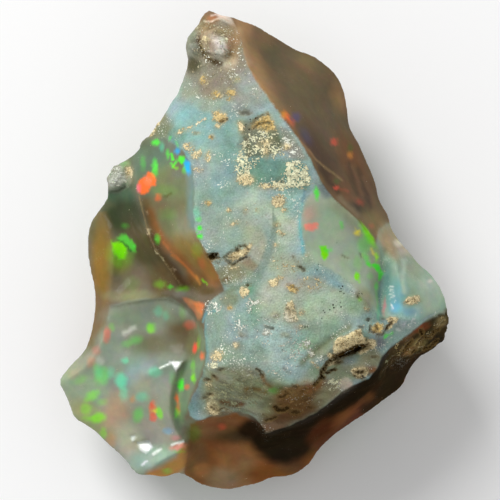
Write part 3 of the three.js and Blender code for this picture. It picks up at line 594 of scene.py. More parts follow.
# Each spot of crust is a shape, the share of the ground that its grains cover, its tint, the width of
# its soft edge in pixels, and how far it stands out in millimetres.
CRUST = [
    # The large speckled patch, with a clean island in it.
    (Patch((240, 136), (252, 130), (272, 126), (280, 134), (284, 146), (288, 158), (262, 160), (254, 168),
           (238, 168), (234, 156), (236, 146)), 0.52, CREAM, 12, 0.04),
    (Patch((236, 156), (248, 156), (252, 168), (252, 180), (240, 186), (234, 172)), 0.68, CREAM, 8, 0.05),
    (Patch((286, 162), (300, 159), (309, 168), (312, 182), (308, 190), (280, 191), (262, 188),
           (266, 183), (276, 180), (284, 172)), 0.7, CREAM, 8, 0.05),
    (Patch((278, 126), (288, 128), (300, 146), (308, 162), (290, 158), (284, 146)), 0.46, PALE, 8, 0.02),
    (Patch((250, 128), (254, 122), (262, 116), (268, 112), (274, 120), (277, 130), (268, 132)),
     0.74, OCHRE, 5, 0.10),
    (Blob(266, 152, 6, 12), 0.62, TAN, 4, 0.04),
    (Blob(265, 143, 16, 8, 20), 0.58, TAN, 5, 0.04),
    (Blob(246, 180, 18, 12), 0.8, TAN, 4, 0.07),
    (Blob(276, 187, 34, 8, -8), 0.66, CREAM, 4, 0.03),
    (Blob(286, 147, 10, 7), 0.66, TAN, 4, 0.04),
    (Blob(268, 187, 20, 6), 0.64, TAN, 4, 0.03),
    (Blob(241, 127, 7, 13), 0.76, TAN, 4, 0.06),
    # The upper part.
    (Blob(212, 44, 40, 46), 0.36, SANDY, 10, 0.03),
    (Blob(214, 78, 52, 52), 0.3, SANDY, 14, 0.0),
    # Pale crust on the knob, which also stands in for its painted highlights.
    (Blob(205, 39, 8, 8), 0.8, TAN, 4, 0.06),
    (Blob(226, 41, 4, 7), 0.8, CREAM, 3, 0.04),
    (Line((222, 44), (226, 52), (231, 60), width=3), 0.66, CHALKY, 3, 0.05),
    (Line((213, 36), (214, 46), (219, 56), width=5), 0.5, CHALKY, 4, 0.03),
    (Line((201, 45), (205, 53), (211, 57), width=1.6), 0.5, OCHRE, 2.5, 0.03),
    (Line((229, 62), (232, 66), width=2), 0.6, CREAM, 2.5, 0.03),
    (Line((163, 111), (158, 123), (151, 135), width=4), 0.8, TAN, 3, 0.08),
    (Blob(118, 176, 24, 22, -35), 0.5, CHALKY, 5, 0.05),
    (Blob(212, 28, 28, 12), 0.3, SANDY, 8, 0.02),
    (Blob(200, 30, 10, 8), 0.5, SANDY, 5, 0.03),
    (Blob(203, 80, 8, 10), 0.64, OCHRE, 4, 0.05),
    (Blob(206, 87, 5, 4), 0.56, SANDY, 3, 0.04),
    (Blob(216, 94, 9, 8), 0.68, OCHRE, 4, 0.05),
    (Blob(213, 98, 5, 3), 0.6, OCHRE, 3, 0.04),
    (Blob(231, 92, 10, 8, -30), 0.72, OCHRE, 4, 0.06),
    (Blob(230, 98, 8, 7), 0.66, OCHRE, 4, 0.05),
    (Blob(238, 80, 6, 6), 0.64, TAN, 3, 0.04),
    (Blob(244, 75, 6, 4), 0.5, CREAM, 3, 0.02),
    (Blob(253, 88, 12, 24, 30), 0.44, PALE, 8, 0.01),
    (Patch((212, 112), (218, 110), (226, 113), (228, 120), (222, 125), (217, 122), (213, 121)),
     0.84, SANDSTONE, 4, 0.10),
    (Blob(218, 126, 6, 6), 0.7, TAN, 3, 0.05),
    (Line((177, 133), (183, 132), (188, 128), (193, 127.5), (197, 124), (206, 118.5), width=3),
     0.62, SCATTER, 3.5, 0.04),
    (Line((176, 134), (184, 131), (192, 128), width=6), 0.3, TAN, 4, 0.02),
    (Blob(184, 130, 8, 6), 0.56, TAN, 4, 0.04),
    (Blob(212, 137, 6, 6), 0.72, OCHRE, 3, 0.05),
    (Blob(196, 133, 8, 5), 0.58, TAN, 3, 0.03),
    (Blob(188, 147, 13, 10), 0.56, TAN, 5, 0.03),
    (Patch((190, 154), (195, 151), (201, 149), (202, 155), (198, 160), (192, 158)), 0.7, TAN, 4, 0.06),
    (Blob(208, 157, 7, 12, -10), 0.66, TAN, 4, 0.05),
    (Blob(198, 170, 8, 6), 0.52, TAN, 4, 0.02),
    # The middle.
    (Patch((272, 197), (279, 194), (284, 196), (286, 203), (282, 207), (276, 208), (272, 203)),
     0.88, TAN, 4, 0.08),
    (Blob(284, 210, 8, 5), 0.55, TAN, 3, 0.03),
    (Blob(208, 203, 7, 6), 0.74, OCHRE, 3, 0.04),
    (Blob(203, 205, 6, 5), 0.62, PALE, 3, 0.02),
    (Blob(229, 210, 6, 6), 0.72, TAN, 3, 0.04),
    (Blob(245, 211, 6, 8), 0.56, TAN, 3, 0.02),
    (Blob(258, 210, 5, 5), 0.48, TAN, 3, 0.02),
    (Blob(235, 223, 11, 5, 20), 0.56, TAN, 3, 0.02),
    (Blob(277, 225, 8, 7), 0.66, TAN, 4, 0.04),
    (Blob(281, 233, 10, 6, -20), 0.74, TAN, 3, 0.05),
    (Blob(276, 245, 7, 5), 0.64, TAN, 3, 0.03),
    (Blob(306, 255, 6, 4), 0.6, TAN, 3, 0.03),
    (Patch((225, 257), (230, 253), (236, 250), (243, 248), (249, 243), (253, 241), (251, 248),
           (248, 255), (242, 257), (235, 261), (231, 262)), 0.8, TAN, 3, 0.05),
    (Blob(232, 268, 14, 5), 0.56, TAN, 4, 0.02),
    (Blob(244, 292, 9, 10), 0.8, TAN, 3, 0.08),
    (Blob(274, 283, 12, 9), 0.7, TAN, 4, 0.05),
    (Blob(280, 278, 9, 5), 0.62, TAN, 4, 0.03),
    (Blob(292, 288, 14, 9, -35), 0.74, OCHRE, 4, 0.07),
    (Patch((287, 302), (292, 300), (295, 306), (297, 316), (299, 321), (291, 323), (283, 319),
           (284, 310)), 0.74, TAN, 4, 0.08),
    (Blob(275, 315, 9, 6), 0.7, TAN, 4, 0.05),
    (Blob(302, 312, 7, 6), 0.62, TAN, 4, 0.03),
    (Blob(300, 327, 14, 5), 0.5, TAN, 4, 0.02),
    (Blob(266, 333, 6, 5), 0.84, TAN, 3, 0.06),
    (Blob(286, 334, 9, 5), 0.56, TAN, 3, 0.03),
    (Blob(242, 334, 9, 4, -20), 0.5, TAN, 3, 0.02),
    (Blob(230, 308, 7, 7), 0.66, OCHRE, 3, 0.03),
    (Blob(217, 311, 6, 8), 0.66, CREAM, 3, 0.03),
    (Blob(212, 308, 20, 16), 0.5, PALE, 6, 0.01),
    (Blob(249, 306, 9, 17), 0.58, PALE, 5, 0.02),
    (Blob(257, 302, 10, 6, 40), 0.54, PALE, 4, 0.01),
    (Blob(238, 326, 18, 18), 0.46, PALE, 6, 0.01),
    (Blob(236, 345, 7, 7), 0.68, TAN, 3, 0.04),
    (Blob(262, 326, 60, 40), 0.3, PALE, 20, 0.0),
    (Blob(312, 284, 30, 16, 10), 0.44, TAN, 6, 0.02),
    (Blob(286, 264, 40, 16, 0), 0.34, TAN, 10, 0.0),
    # Around the fold and the rough ground.
    (Patch((210, 354), (216, 349), (222, 350), (224, 356), (221, 361), (213, 362), (209, 358)),
     0.64, TAN, 4, 0.08),
    (Blob(213, 366, 13, 9), 0.66, CREAM, 4, 0.05),
    (Blob(209, 386, 8, 8), 0.6, TAN, 4, 0.04),
    (Blob(214, 396, 9, 7), 0.62, TAN, 4, 0.04),
    (Patch((206, 408), (207, 402), (212, 399), (218, 402), (221, 408), (221, 414), (214, 416),
           (208, 414)), 0.8, TAN, 4, 0.10),
    (Blob(225, 409, 12, 4, -14), 0.6, OCHRE, 3, 0.04),
    (Blob(253, 392, 6, 4), 0.54, CREAM, 3, 0.03),
    (Blob(229, 375, 8, 4), 0.5, CREAM, 4, 0.02),
    (Blob(265, 388, 6, 6), 0.48, TAN, 4, 0.02),
    (Blob(306, 345, 8, 8), 0.66, TAN, 4, 0.05),
    (Blob(311, 354, 5, 7), 0.66, TAN, 3, 0.05),
    (Blob(298, 347, 40, 34), 0.4, PALE, 14, 0.01),
    (Blob(272, 371, 12, 6), 0.56, PALE, 4, 0.02),
    (Blob(334, 384, 26, 14, 24), 0.5, CREAM, 6, 0.02),
    # The crusted lump over the crack.
    (Patch((333, 347), (333.5, 342), (337, 338.5), (341, 336), (344, 336.5), (349, 333.5), (353, 331.5),
           (357, 329.5), (360, 328.5), (362.5, 333), (364, 337), (367, 338.5), (371, 339.5), (374, 342),
           (374, 345), (371, 349), (366, 352), (361, 354.5), (357.5, 353.5), (359, 351), (363, 347.5),
           (364, 345), (360, 345), (356, 345), (352, 347), (348, 349.5), (343, 351.5), (338, 353.5),
           (334, 354.5)), 1.0, BUFF, 2.5, 0.36),
    (Blob(372, 344.5, 9, 10), 1.0, TAN, 2.5, 0.24),
    (Patch((326.5, 354), (330, 352.5), (335, 354), (335, 358), (331, 359.5), (328, 357.5)),
     1.0, TAN, 2, 0.22),
    (Patch((326.5, 364), (331, 361), (337, 359.5), (341, 361.5), (336, 363.5), (331, 367), (327, 366.5)),
     0.85, TAN, 2.5, 0.14),
    (Line((325, 368), (325.5, 372), (324.5, 376), width=2.5), 0.7, TAN, 2.5, 0.08),
    (Patch((350.5, 371), (353, 368.5), (357, 366.5), (362, 365.5), (367, 367), (369.5, 371), (367, 375.5),
           (362, 378.5), (357, 378), (353, 374.5)), 0.92, TAN, 2.5, 0.16),
    (Patch((371, 329.5), (374, 324.5), (378, 322), (383, 324.5), (384, 328), (381, 333.5), (377, 333.5),
           (372, 331)), 0.92, OCHRE, 3, 0.16),
    (Patch((386, 319), (390, 316.5), (396, 316), (399, 319), (395, 324), (392, 327), (389, 330),
           (386.5, 327), (389, 323.5)), 0.85, TAN, 2.5, 0.14),
    (Line((311, 361.5), (314, 364), (318, 368), width=4), 0.6, TAN, 3, 0.04),
    (Blob(412, 300.5, 17, 9, 14), 0.95, TAN, 3.5, 0.06),
    (Blob(367, 309, 8, 7), 0.52, TAN, 4, 0.02),
    (Blob(306, 381, 14, 5), 0.4, TAN, 4, 0.02),
    (Blob(129, 171, 7, 13, 8), 0.8, TAN, 4, 0.05),
    (Blob(240, 391, 66, 40, 8), 0.44, MOSSY, 12, 0.02),
    (Blob(296, 396, 50, 26, 14), 0.4, BROWNISH, 10, 0.02),
    (Blob(443, 319, 8, 8, 40), 0.46, OLIVE, 4, 0.14),
    (Blob(435.5, 325, 6, 4, 30), 0.5, OLIVE, 3, 0.12),
    (Blob(429, 334, 6, 4, 10), 0.56, OLIVE, 3, 0.16),
    (Blob(419.5, 345, 9, 6, 36), 0.56, OLIVE, 3, 0.2),
    (Blob(409, 351.5, 9, 5, 34), 0.56, OLIVE, 3, 0.18),
    (Blob(398, 350, 12, 12, 40), 0.4, OLIVE, 4, 0.12),
    (Blob(388, 361, 10, 9, 40), 0.34, MOSSY, 4, 0.1),
]
# Crust of these tints stains the ground: each stain's colour, the pixels that it adds to the crust's
# soft edge, and its strength.
STAINING_TINTS = (BUFF, TAN, OCHRE, SANDSTONE)
STAINS = [(STAIN, 5, 0.45), (CAKED, 0, 0.6)]
# How many pixels softer the edge of the crust's grains is than the edge of its relief.
CRUST_FADE = 1.5
# Loose grains lie in drifts: the share that they cover at most, and the noise's levels where they
# set in.
SCATTERED, SCATTER_LEVELS = 0.2, (-0.2, 0.5)

# ---------------------------------------------------------------- cracks, hollows and steps

# Each hollow is a shape, its depth in millimetres and the width of its soft edge in pixels.
HOLLOWS = [
    # The crusted crack at the satin front's left edge.
    (Patch((206.5, 256), (209.5, 254.5), (212, 253.5), (218, 253.7), (216, 255.8), (220.5, 258.2),
           (215, 259), (211, 260.5), (208.5, 258.5)), 0.5, 2),
    (Line((215.5, 260), (216.5, 263), (219, 263), (220, 260.5), width=0.7), 0.18, 1.6),
    (Line((224, 257.5), (227.5, 254.7), (232.5, 252), (236, 249), (238, 247.3), width=1.2), 0.18, 1.8),
    (Line((237, 247.7), (242.5, 246.3), (245.5, 246.8), (248.5, 250.2), width=1.4), 0.2, 1.8),
    (Patch((234.5, 250.5), (238, 248.5), (240.5, 250.5), (238, 252.5), (235, 252.5)), 0.22, 1.6),
    (Line((223.5, 258), (227, 260.7), (231, 264), (233, 265), (236, 262.3), (240, 259.8), (243, 258.3),
          (247, 257.3), width=1.5), 0.22, 1.8),
    (Line((228, 257), (231, 258), (234, 257.5), width=0.9), 0.16, 1.6),
    (Line((230, 260.5), (234, 260), (237, 257), width=0.8), 0.14, 1.6),
    (Line((245.5, 249), (247, 253), width=0.8), 0.12, 1.6),
    # Small marks of the front.
    (Line((293, 257), (296, 262), (299, 266), width=0.6), 0.12, 1.6),
    (Line((299.5, 267), (304.5, 270.5), width=2.6), 0.18, 2.5),
    (Line((221, 122), (227, 119), width=1.8), 0.2, 2),
    (Line((252, 124), (257, 118.5), (263, 115), (268, 113.5), width=1.0), 0.2, 2),
    (Line((254, 128), (259, 124), (265, 122.5), (270, 123.5), width=1.6), 0.2, 2),
    (Line((264, 128), (267, 127), (270, 128.5), width=1.0), 0.1, 2.5),
    (Blob(245, 113, 9, 4), 0.14, 4),
    (Blob(240, 146, 7, 9), 0.06, 4),
    (Line((245, 138), (250, 150), (248, 158), width=1.5), 0.08, 2),
    (Line((281, 177), (276, 181), (284, 183), width=1.2), 0.08, 2),
    (Blob(212, 137, 2, 2), 0.1, 2),
    (Blob(196, 133.5, 3, 1.6), 0.08, 2),
    (Line((289, 285), (293, 287), (298, 291), width=1.0), 0.12, 2),
    (Line((287, 308), (291, 312), (289, 317), width=1.0), 0.12, 2),
    (Line((292, 306), (294, 313), width=0.8), 0.1, 2),
    (Line((343, 256), (348, 259), width=1.2), 0.08, 2),
    (Line((360, 254), (362, 258), width=0.9), 0.08, 2),
    (Line((266, 327), (273, 329), width=1.8), 0.16, 2),
    (Line((240, 335), (249, 339), width=1.2), 0.06, 2),
    (Line((282, 336), (292, 338), width=1.2), 0.06, 2),
    (Blob(248, 285, 3, 2), 0.18, 2),
    (Blob(369, 320, 4, 3), 0.16, 2),
    (Blob(361, 327.5, 3.5, 2), 0.14, 2),
    (Line((284, 369), (289, 373), width=1.4), 0.08, 3),
    # The rough ground under the fold.
    (Line((257, 370), (260, 372), (263, 376), width=2.4), 0.22, 2.4),
    (Blob(222, 369.5, 4, 1.8), 0.16, 2),
    (Line((213, 376), (217, 378.5), width=2.2), 0.18, 2.5),
    (Blob(208, 380, 5, 2.6, -10), 0.2, 2.5),
    (Blob(209.5, 394.5, 5, 2), 0.15, 2),
    (Blob(205, 398, 4, 2.5), 0.14, 2.5),
    (Line((211, 407), (215, 410), (219, 411), (223, 407), (228, 410), width=1.1), 0.16, 2),
    (Line((214, 405), (217, 408), width=0.9), 0.12, 2),
    (Line((279, 397), (283, 396.5), (286.5, 394), width=2), 0.2, 2.5),
    (Line((275, 407), (278, 410.5), (283, 410.5), (288, 408), width=3.4), 0.28, 3),
    (Line((276, 405), (282, 404), width=1.2), 0.14, 2),
    (Blob(296, 412, 9, 4.5), 0.22, 3.5),
    (Line((266, 420.5), (271, 419.5), (276, 417), width=2.2), 0.2, 2.5),
    (Blob(308, 407.5, 6, 1.8), 0.14, 2),
    (Line((286, 391), (290, 394.5), width=1.4), 0.14, 2),
    (Line((293, 386), (298, 387), width=1.3), 0.12, 2),
    (Line((304, 397.5), (308, 395), width=1.3), 0.12, 2.5),
    (Blob(302, 391, 3.5, 2), 0.12, 2),
    (Line((310, 388), (314, 391), width=1.6), 0.12, 2.5),
    (Line((263, 415), (268, 417), width=1.2), 0.1, 2),
    (Line((246, 393), (251, 395), width=1.5), 0.08, 3),
    # Under the crusted lump, and in it.
    (Patch((370, 343), (366, 344), (360, 344.8), (356, 344.8), (352, 346.8), (348, 349.3), (343, 351.3),
           (338, 353.3), (334, 356), (331, 359), (334, 359.8), (340, 357.7), (344, 356.2), (348, 354.7),
           (352, 353.2), (357, 351.7), (360.5, 349.7), (365, 346.7)), 0.6, 2),
    (Line((331, 360), (328, 362), (326, 365.5), (324, 368.5), (321.5, 370.5), (321.5, 376),
          (319, 380.5), (314.5, 384.5), width=2.6), 0.42, 2),
    (Line((321.5, 374), (324.5, 378.5), width=2.2), 0.3, 2),
    (Line((335, 369), (331, 370.5), (326, 373), width=1.8), 0.3, 1.8),
    (Line((335.5, 362.8), (341, 361.5), width=2.4), 0.24, 1.8),
    (Patch((354, 372), (358, 370.5), (364, 370.5), (363, 372.5), (358, 373.5)), 0.24, 1.8),
    (Line((362, 375), (364, 377.5), width=1.4), 0.24, 1.6),
    (Line((354, 375), (358, 377.5), (362, 378.5), width=1.0), 0.2, 1.6),
    (Line((366, 368), (369, 371), (369, 375), width=1.0), 0.18, 1.6),
    (Line((356, 331), (357, 333.5), (359.5, 333), width=0.8), 0.18, 1.4),
    (Line((344.5, 342), (347, 344.5), (349.5, 345.5), width=1.0), 0.14, 1.6),
    (Line((366.5, 338.5), (366.5, 342), width=1.0), 0.2, 1.6),
    (Line((358, 342), (362, 341.5), (365, 342.5), width=0.9), 0.18, 1.6),
    (Line((362, 351.5), (366, 348.5), (371, 346), width=0.8), 0.14, 1.6),
    (Line((340, 343), (342, 347), width=0.7), 0.1, 1.6),
    (Line((352, 338), (354, 341), width=0.7), 0.1, 1.6),
    (Blob(373.5, 357, 4, 1.8), 0.18, 1.8),
    (Blob(358.5, 296.5, 2.6, 4.6, 30), 0.14, 1.6),
    (Line((370.5, 327), (370, 331), (374, 333), width=1.1), 0.26, 1.8),
    (Line((375, 326), (378, 329), (376, 331), width=0.9), 0.2, 1.6),
    (Line((377, 335), (382, 334.5), (386, 330), width=1.0), 0.2, 1.8),
    (Line((386, 329), (388.5, 325.5), (391, 323), width=1.6), 0.3, 1.8),
    (Line((390, 319), (393, 321), width=0.9), 0.18, 1.6),
    # The dark rough band.
    (Blob(421.5, 332.5, 4, 6, 20), 0.4, 2),
    (Line((426, 338), (431, 336.5), (434, 332), width=1.6), 0.3, 2),
    (Line((424, 349), (430, 347), (437, 340), width=2.4), 0.3, 3),
    (Line((403, 350), (408, 344.5), (412, 340.5), width=1.8), 0.32, 2),
    (Line((411, 352), (415, 350), width=2), 0.26, 2),
    (Blob(437, 329, 4, 3), 0.24, 2),
]
# Painted shade of the hollows: the colour of their dark cores and of their brown rims.
HOLLOW_CORE_SHADE = colour(50, 36, 14)
HOLLOW_RIM_SHADE = colour(122, 98, 56)
# A hollow this deep has the darkest painted shade, and this share of the crust is lost in it.
HOLLOW_DARKEST = 0.35 * MM
CRUST_LOST_IN_HOLLOWS = 0.7
# The depth, in pixels, of ground where there is no hollow.
BEYOND_HOLLOWS = -4.0

# ---------------------------------------------------------------- flashes of colour

# Each flash is its colour, its shape, its strength, and how many pixels wide its soft edge is. A few
# are painted highlights and glints.
FLASHES = [
    # The brown face.
    (AMBER, Blob(284, 115, 6, 8), 0.6, 4),
    (ORANGE, Blob(288, 118, 4, 10, 28), 0.6, 4),
    (VIOLET, Blob(296, 117, 9, 9), 0.6, 6),
    (RED, Blob(293, 123, 4, 6), 0.2, 4),
    (VIOLET, Blob(306, 136, 8, 16, 30), 0.4, 8),
    (RED, Blob(334, 142, 7, 7), 0.5, 5),
    (AMBER, Blob(350, 155, 5, 7), 0.5, 4),
    (DEEP_GREEN, Blob(350, 148, 6, 8), 0.4, 5),
    (DEEP_GREEN, Blob(337, 181, 7, 5), 0.4, 4),
    (RED, Blob(336, 188, 5, 3.5, 10), 0.5, 2.5),
    (RED, Line((340, 189), (348, 191), width=2.5), 0.14, 4),
    (RED, Blob(360, 202, 8, 5, -30), 0.2, 5),
    (RED, Blob(372, 226, 6, 5), 0.15, 4),
    # The upper break on the left.
    (ORANGE, Patch((148, 172), (152, 172), (155, 176), (157, 181), (155, 185), (151, 187), (149, 191),
                   (145, 194), (141, 194), (138, 190), (138, 184), (140, 179), (145, 177)), 1.0, 2.5),
    (MAGENTA, Blob(138.5, 188, 4, 7), 0.8, 3),
    (ORANGE, Blob(158, 197.5, 7, 6), 0.55, 4),
    (GREEN, Blob(155.5, 142.5, 8, 5, 5), 0.75, 3),
    (GREEN, Blob(170, 138, 3, 4, -40), 0.4, 2),
    (SEA, Blob(162, 147, 4, 8), 0.35, 3),
    (GREEN, Blob(155, 167, 5, 14), 0.7, 4),
    (GREEN, Blob(143, 163, 5, 12), 0.25, 4),
    (GREEN, Blob(168, 154, 3, 9), 0.6, 2.5),
    (GREEN, Line((172, 154), (173, 160), width=2.4), 0.95, 2),
    (GREEN, Line((177, 161), (174.5, 165), (173, 167), width=2), 0.85, 2),
    (LIME, Line((172.5, 165), (177, 168), width=1.6), 0.7, 2),
    (GREEN, Patch((178, 157), (184, 156), (185, 161), (183, 164), (179, 161)), 1.0, 2.5),
    (GREEN, Blob(184.5, 169, 4, 8), 0.5, 3),
    (GREEN, Line((176, 141), (178, 147), width=1.8), 0.4, 2),
    (GREEN, Line((171, 163), (172, 168), width=1.3), 0.6, 2),
    (AZURE, Blob(177, 151, 5, 6), 0.75, 3),
    (AZURE, Blob(187.5, 167, 6, 14, 10), 0.95, 3),
    (VIOLET, Blob(178, 174, 10, 8), 0.2, 6),
    (GREEN, Blob(157.5, 239, 5, 9), 0.55, 3),
    (GREEN, Blob(168, 214, 18, 12), 0.08, 8),
    (LIME, Blob(164, 190, 20, 10), 0.1, 8),
    (SEA, Blob(197, 213, 6, 12), 0.35, 4),
    (GREEN, Blob(199, 219, 6, 5), 0.45, 3),
    (GREEN, Blob(199.5, 228, 5.5, 5), 1.0, 2.2),
    (GREEN, Blob(200, 237, 5, 4.5), 0.9, 2.2),
    (GREEN, Blob(198, 232, 2.5, 2.5), 0.6, 1.8),
    # The lower break on the left.
    (LIME, Blob(121, 252, 26, 26), 0.2, 12),
    (LIME, Patch((113, 243), (121, 241), (127, 247), (127, 253), (124, 259), (119, 259), (114, 253)),
     1.0, 4),
    (GREEN, Patch((117, 238), (124, 234), (131, 240), (136, 246), (132, 251), (127, 246), (121, 241)),
     0.6, 4),
    (DEEP_GREEN, Line((119, 240), (125, 244), (131, 251), width=1.6), 0.8, 2),
    (GREEN, Blob(134, 249, 4, 7), 0.5, 3),
    (GREEN, Blob(125, 226, 7, 5), 0.16, 4),
    (LIME, Blob(118, 262, 8, 10), 0.2, 6),
    (LIME, Blob(160, 284, 11, 7), 0.24, 5),
    (GREEN, Blob(170.5, 287, 5, 4), 0.5, 3),
    (LIME, Blob(182, 289, 10, 5), 0.35, 5),
    (GREEN, Blob(131, 283, 16, 14), 0.06, 8),
    (LIME, Line((202, 280), (207, 284), width=1.6), 0.55, 2.5),
    (AMBER, Line((196, 276), (200, 284), width=1.6), 0.4, 3),
    (LIME, Blob(197, 250, 10, 14), 0.14, 6),
    (RED, Blob(202, 263, 6, 10, 30), 0.2, 5),
    # The milky lobe.
    # A soft painted highlight on the lobe, in pale.
    (PALE, Line((124, 333.5), (128, 331), (134, 328), width=4.5), 0.47, 4),
    (PALE, Blob(100, 361, 8, 9), 0.27, 5),
    (LIME, Blob(151, 328, 9, 10), 0.57, 5),
    (SEA, Blob(158, 311, 8, 10), 0.34, 5),
    (SEA, Blob(166, 315, 6, 9), 0.24, 5),
    (LIME, Blob(182, 312, 6, 12), 0.15, 5),
    (RED, Blob(190, 325, 12, 9), 0.27, 5),
    (RED, Blob(107, 335, 7, 15, -5), 0.44, 4),
    (LIME, Blob(112, 327, 5, 7), 0.24, 4),
    (GREEN, Blob(135, 340, 13, 8, 15), 0.29, 6),
    (GREEN, Blob(126, 344, 9, 7), 0.20, 5),
    (RED, Blob(97, 351, 8, 9), 0.22, 5),
    (ORANGE, Blob(91, 362, 8, 11, -20), 0.2, 5),
    (LIME, Blob(96, 367, 6, 8, -20), 0.20, 4),
    (AMBER, Blob(74, 373, 16, 9, 30), 0.13, 7),
    (SEA, Blob(125, 360.5, 7, 6), 0.50, 3.5),
    (GREEN, Blob(102, 376, 15, 17), 0.37, 7),
    (SEA, Blob(98, 371, 8, 13), 0.30, 6),
    (SEA, Blob(111, 372, 7, 10), 0.27, 5),
    (LIME, Blob(80, 380, 14, 7, 20), 0.24, 6),
    (SEA, Blob(121, 381, 11, 14), 0.64, 6),
    (SEA, Blob(124, 393, 8, 15), 0.44, 5),
    (SEA, Blob(155, 372, 13, 10), 0.37, 5),
    (LIME, Blob(92, 396, 15, 8, 35), 0.50, 5),
    (LIME, Blob(86, 409, 10, 10), 0.40, 5),
    (LIME, Blob(102, 402, 9, 7), 0.27, 5),
    (LIME, Blob(98, 418, 15, 9, 10), 0.64, 5),
    (LIME, Blob(87, 418, 10, 6), 0.34, 4),
    (LIME, Blob(103, 433, 6, 10), 0.40, 4),
    (AMBER, Blob(111, 440, 10, 15), 0.27, 6),
    (AMBER, Blob(133, 399, 6, 7), 0.37, 4),
    (SEA, Blob(142, 397, 12, 9), 0.34, 5),
    (GREEN, Blob(138, 415, 9, 14, -15), 0.40, 5),
    (ORANGE, Blob(153, 409, 7, 16), 0.57, 3),
    (RED, Blob(152, 405, 4, 6), 0.60, 2.5),
    (RED, Blob(153, 418, 7, 8), 0.60, 3),
    (YELLOW, Blob(155, 411, 5, 5), 0.60, 2.5),
    (LIME, Blob(159.5, 413, 6, 12, 20), 0.64, 3),
    (RED, Blob(118, 408, 20, 30), 0.05, 12),
    (AZURE, Blob(168, 431, 9, 6), 0.30, 4),
    (MAGENTA, Blob(176, 438, 9, 5), 0.30, 3.5),
    (SALMON, Blob(178, 446.5, 16, 6, 12), 0.57, 3),
    (LIME, Blob(179, 451.5, 10, 3.5), 0.27, 3),
    (GREEN, Blob(167, 471, 9, 5), 0.34, 4),
    # The steep strip.
    (RED, Blob(195.5, 348, 4.5, 10, -15), 0.95, 2.5),
    (ORANGE, Blob(202, 356, 4, 8), 0.65, 2.5),
    (LIME, Blob(199, 343, 3, 12), 0.25, 3),
    (GREEN, Blob(181, 385, 6, 11), 0.95, 3),
    (ORANGE, Blob(187, 387, 5, 5), 0.45, 3),
    (LIME, Blob(193.5, 378, 4, 9), 0.7, 2.5),
    (LIME, Blob(193, 366, 4, 10), 0.3, 3),
    (ORANGE, Blob(177, 398, 3.5, 9, 10), 0.75, 2.5),
    (ORANGE, Blob(178, 409, 4, 12), 0.55, 3),
    (GREEN, Blob(177, 413, 5, 9), 0.5, 3),
    (GREEN, Blob(172, 378, 5, 12), 0.2, 5),
    (GREEN, Blob(194, 433, 13, 16), 0.12, 7),
    (RED, Blob(222, 427, 7, 6), 0.3, 5),
    # The smooth break on the right, and the lobe beyond it.
    (GREEN, Blob(316.5, 194, 4.5, 13, 5), 0.9, 2.5),
    (SALMON, Patch((304, 224), (319, 223), (318, 229), (309, 231), (306, 230)), 0.95, 2.5),
    (SALMON, Blob(308, 216, 9, 12), 0.15, 6),
    (LIME, Patch((319, 247), (326, 246), (328, 252), (327, 257), (324, 261), (322, 256), (321, 251)),
     1.0, 2.2),
    (GREEN, Patch((319, 246), (330, 250), (328, 254), (324, 251)), 0.6, 2.5),
    (GREEN, Blob(331, 250, 3, 4), 0.5, 2.5),
    (GREEN, Blob(341.5, 225, 4, 8), 0.5, 2.5),
    (YELLOW, Blob(357.5, 232.5, 6, 5), 0.9, 2.5),
    (LIME, Blob(368, 236, 7, 27, 32), 0.6, 4),
    (LIME, Blob(369, 237, 4, 18, 32), 0.6, 3),
    (GREEN, Blob(364, 245, 12, 16), 0.35, 6),
    (YELLOW, Line((371, 248), (374, 254), (376, 257), width=2.4), 0.6, 2.5),
    (LIME, Blob(376, 257, 4, 8), 0.6, 2.5),
    (GREEN, Blob(366, 258, 6, 10, 20), 0.5, 4),
    (GREEN, Blob(369, 264, 4, 6, 20), 0.85, 2.5),
    (GREEN, Patch((371, 265), (375, 263), (379, 264), (380, 268), (377, 271), (374, 268)), 1.0, 2.2),
    (GREEN, Line((378, 269), (381, 273), (380, 278), width=4), 0.8, 2.5),
    (GREEN, Blob(376, 286, 4, 8), 0.5, 3),
    (GREEN, Blob(370, 276, 6, 8), 0.25, 4),
    (GREEN, Line((376.5, 292), (377, 300), (377.5, 308), width=1.2), 0.3, 2.5),
    (LIME, Blob(360, 299, 4, 4), 0.4, 2.5),
    (LIME, Blob(362.5, 254, 2.5, 2.5), 0.5, 2),
    (LIME, Blob(357, 276, 6.5, 8), 0.95, 2.5),
    (LIME, Line((358, 279), (359.5, 283), width=1.5), 0.7, 2),
    (LIME, Blob(358, 263, 8, 14), 0.22, 5),
    (SEA, Blob(378.5, 312, 4, 13), 0.45, 3),
    (GREEN, Blob(386, 336, 5, 4, 30), 0.6, 2.5),
    (GREEN, Blob(391.5, 333.5, 5, 3, 20), 0.5, 2.5),
    (MAGENTA, Blob(384.5, 306, 2.6, 16, -4), 0.5, 2.2),
    (AZURE, Blob(396, 306, 10, 12), 0.14, 6),
    (GREEN, Blob(273, 391, 10, 6), 0.15, 4),
    # Painted highlights: white ripples of the lobe, where they catch the light.
    (HIGHLIGHT_WHITE, Line((389, 288), (393, 286.5), width=1.0), 0.75, 1.6),
    (HIGHLIGHT_WHITE, Line((390, 291), (394, 289.5), width=1.0), 0.7, 1.6),
    (HIGHLIGHT_WHITE, Line((390, 294), (394.5, 293), width=1.0), 0.7, 1.6),
    (HIGHLIGHT_WHITE, Line((391, 298), (394, 296), width=1.0), 0.6, 1.6),
    (HIGHLIGHT_WHITE, Line((393, 302), (395, 301), width=1.2), 0.6, 1.6),
    (HIGHLIGHT_WHITE, Line((391, 305), (392.5, 308), width=1.4), 0.8, 1.6),
    (HIGHLIGHT_WHITE, Line((409, 328), (411.5, 323), (412.5, 319), width=1.0), 0.6, 1.8),
    (HIGHLIGHT_WHITE, Line((396, 330), (400, 330.5), width=1.2), 0.5, 1.8),
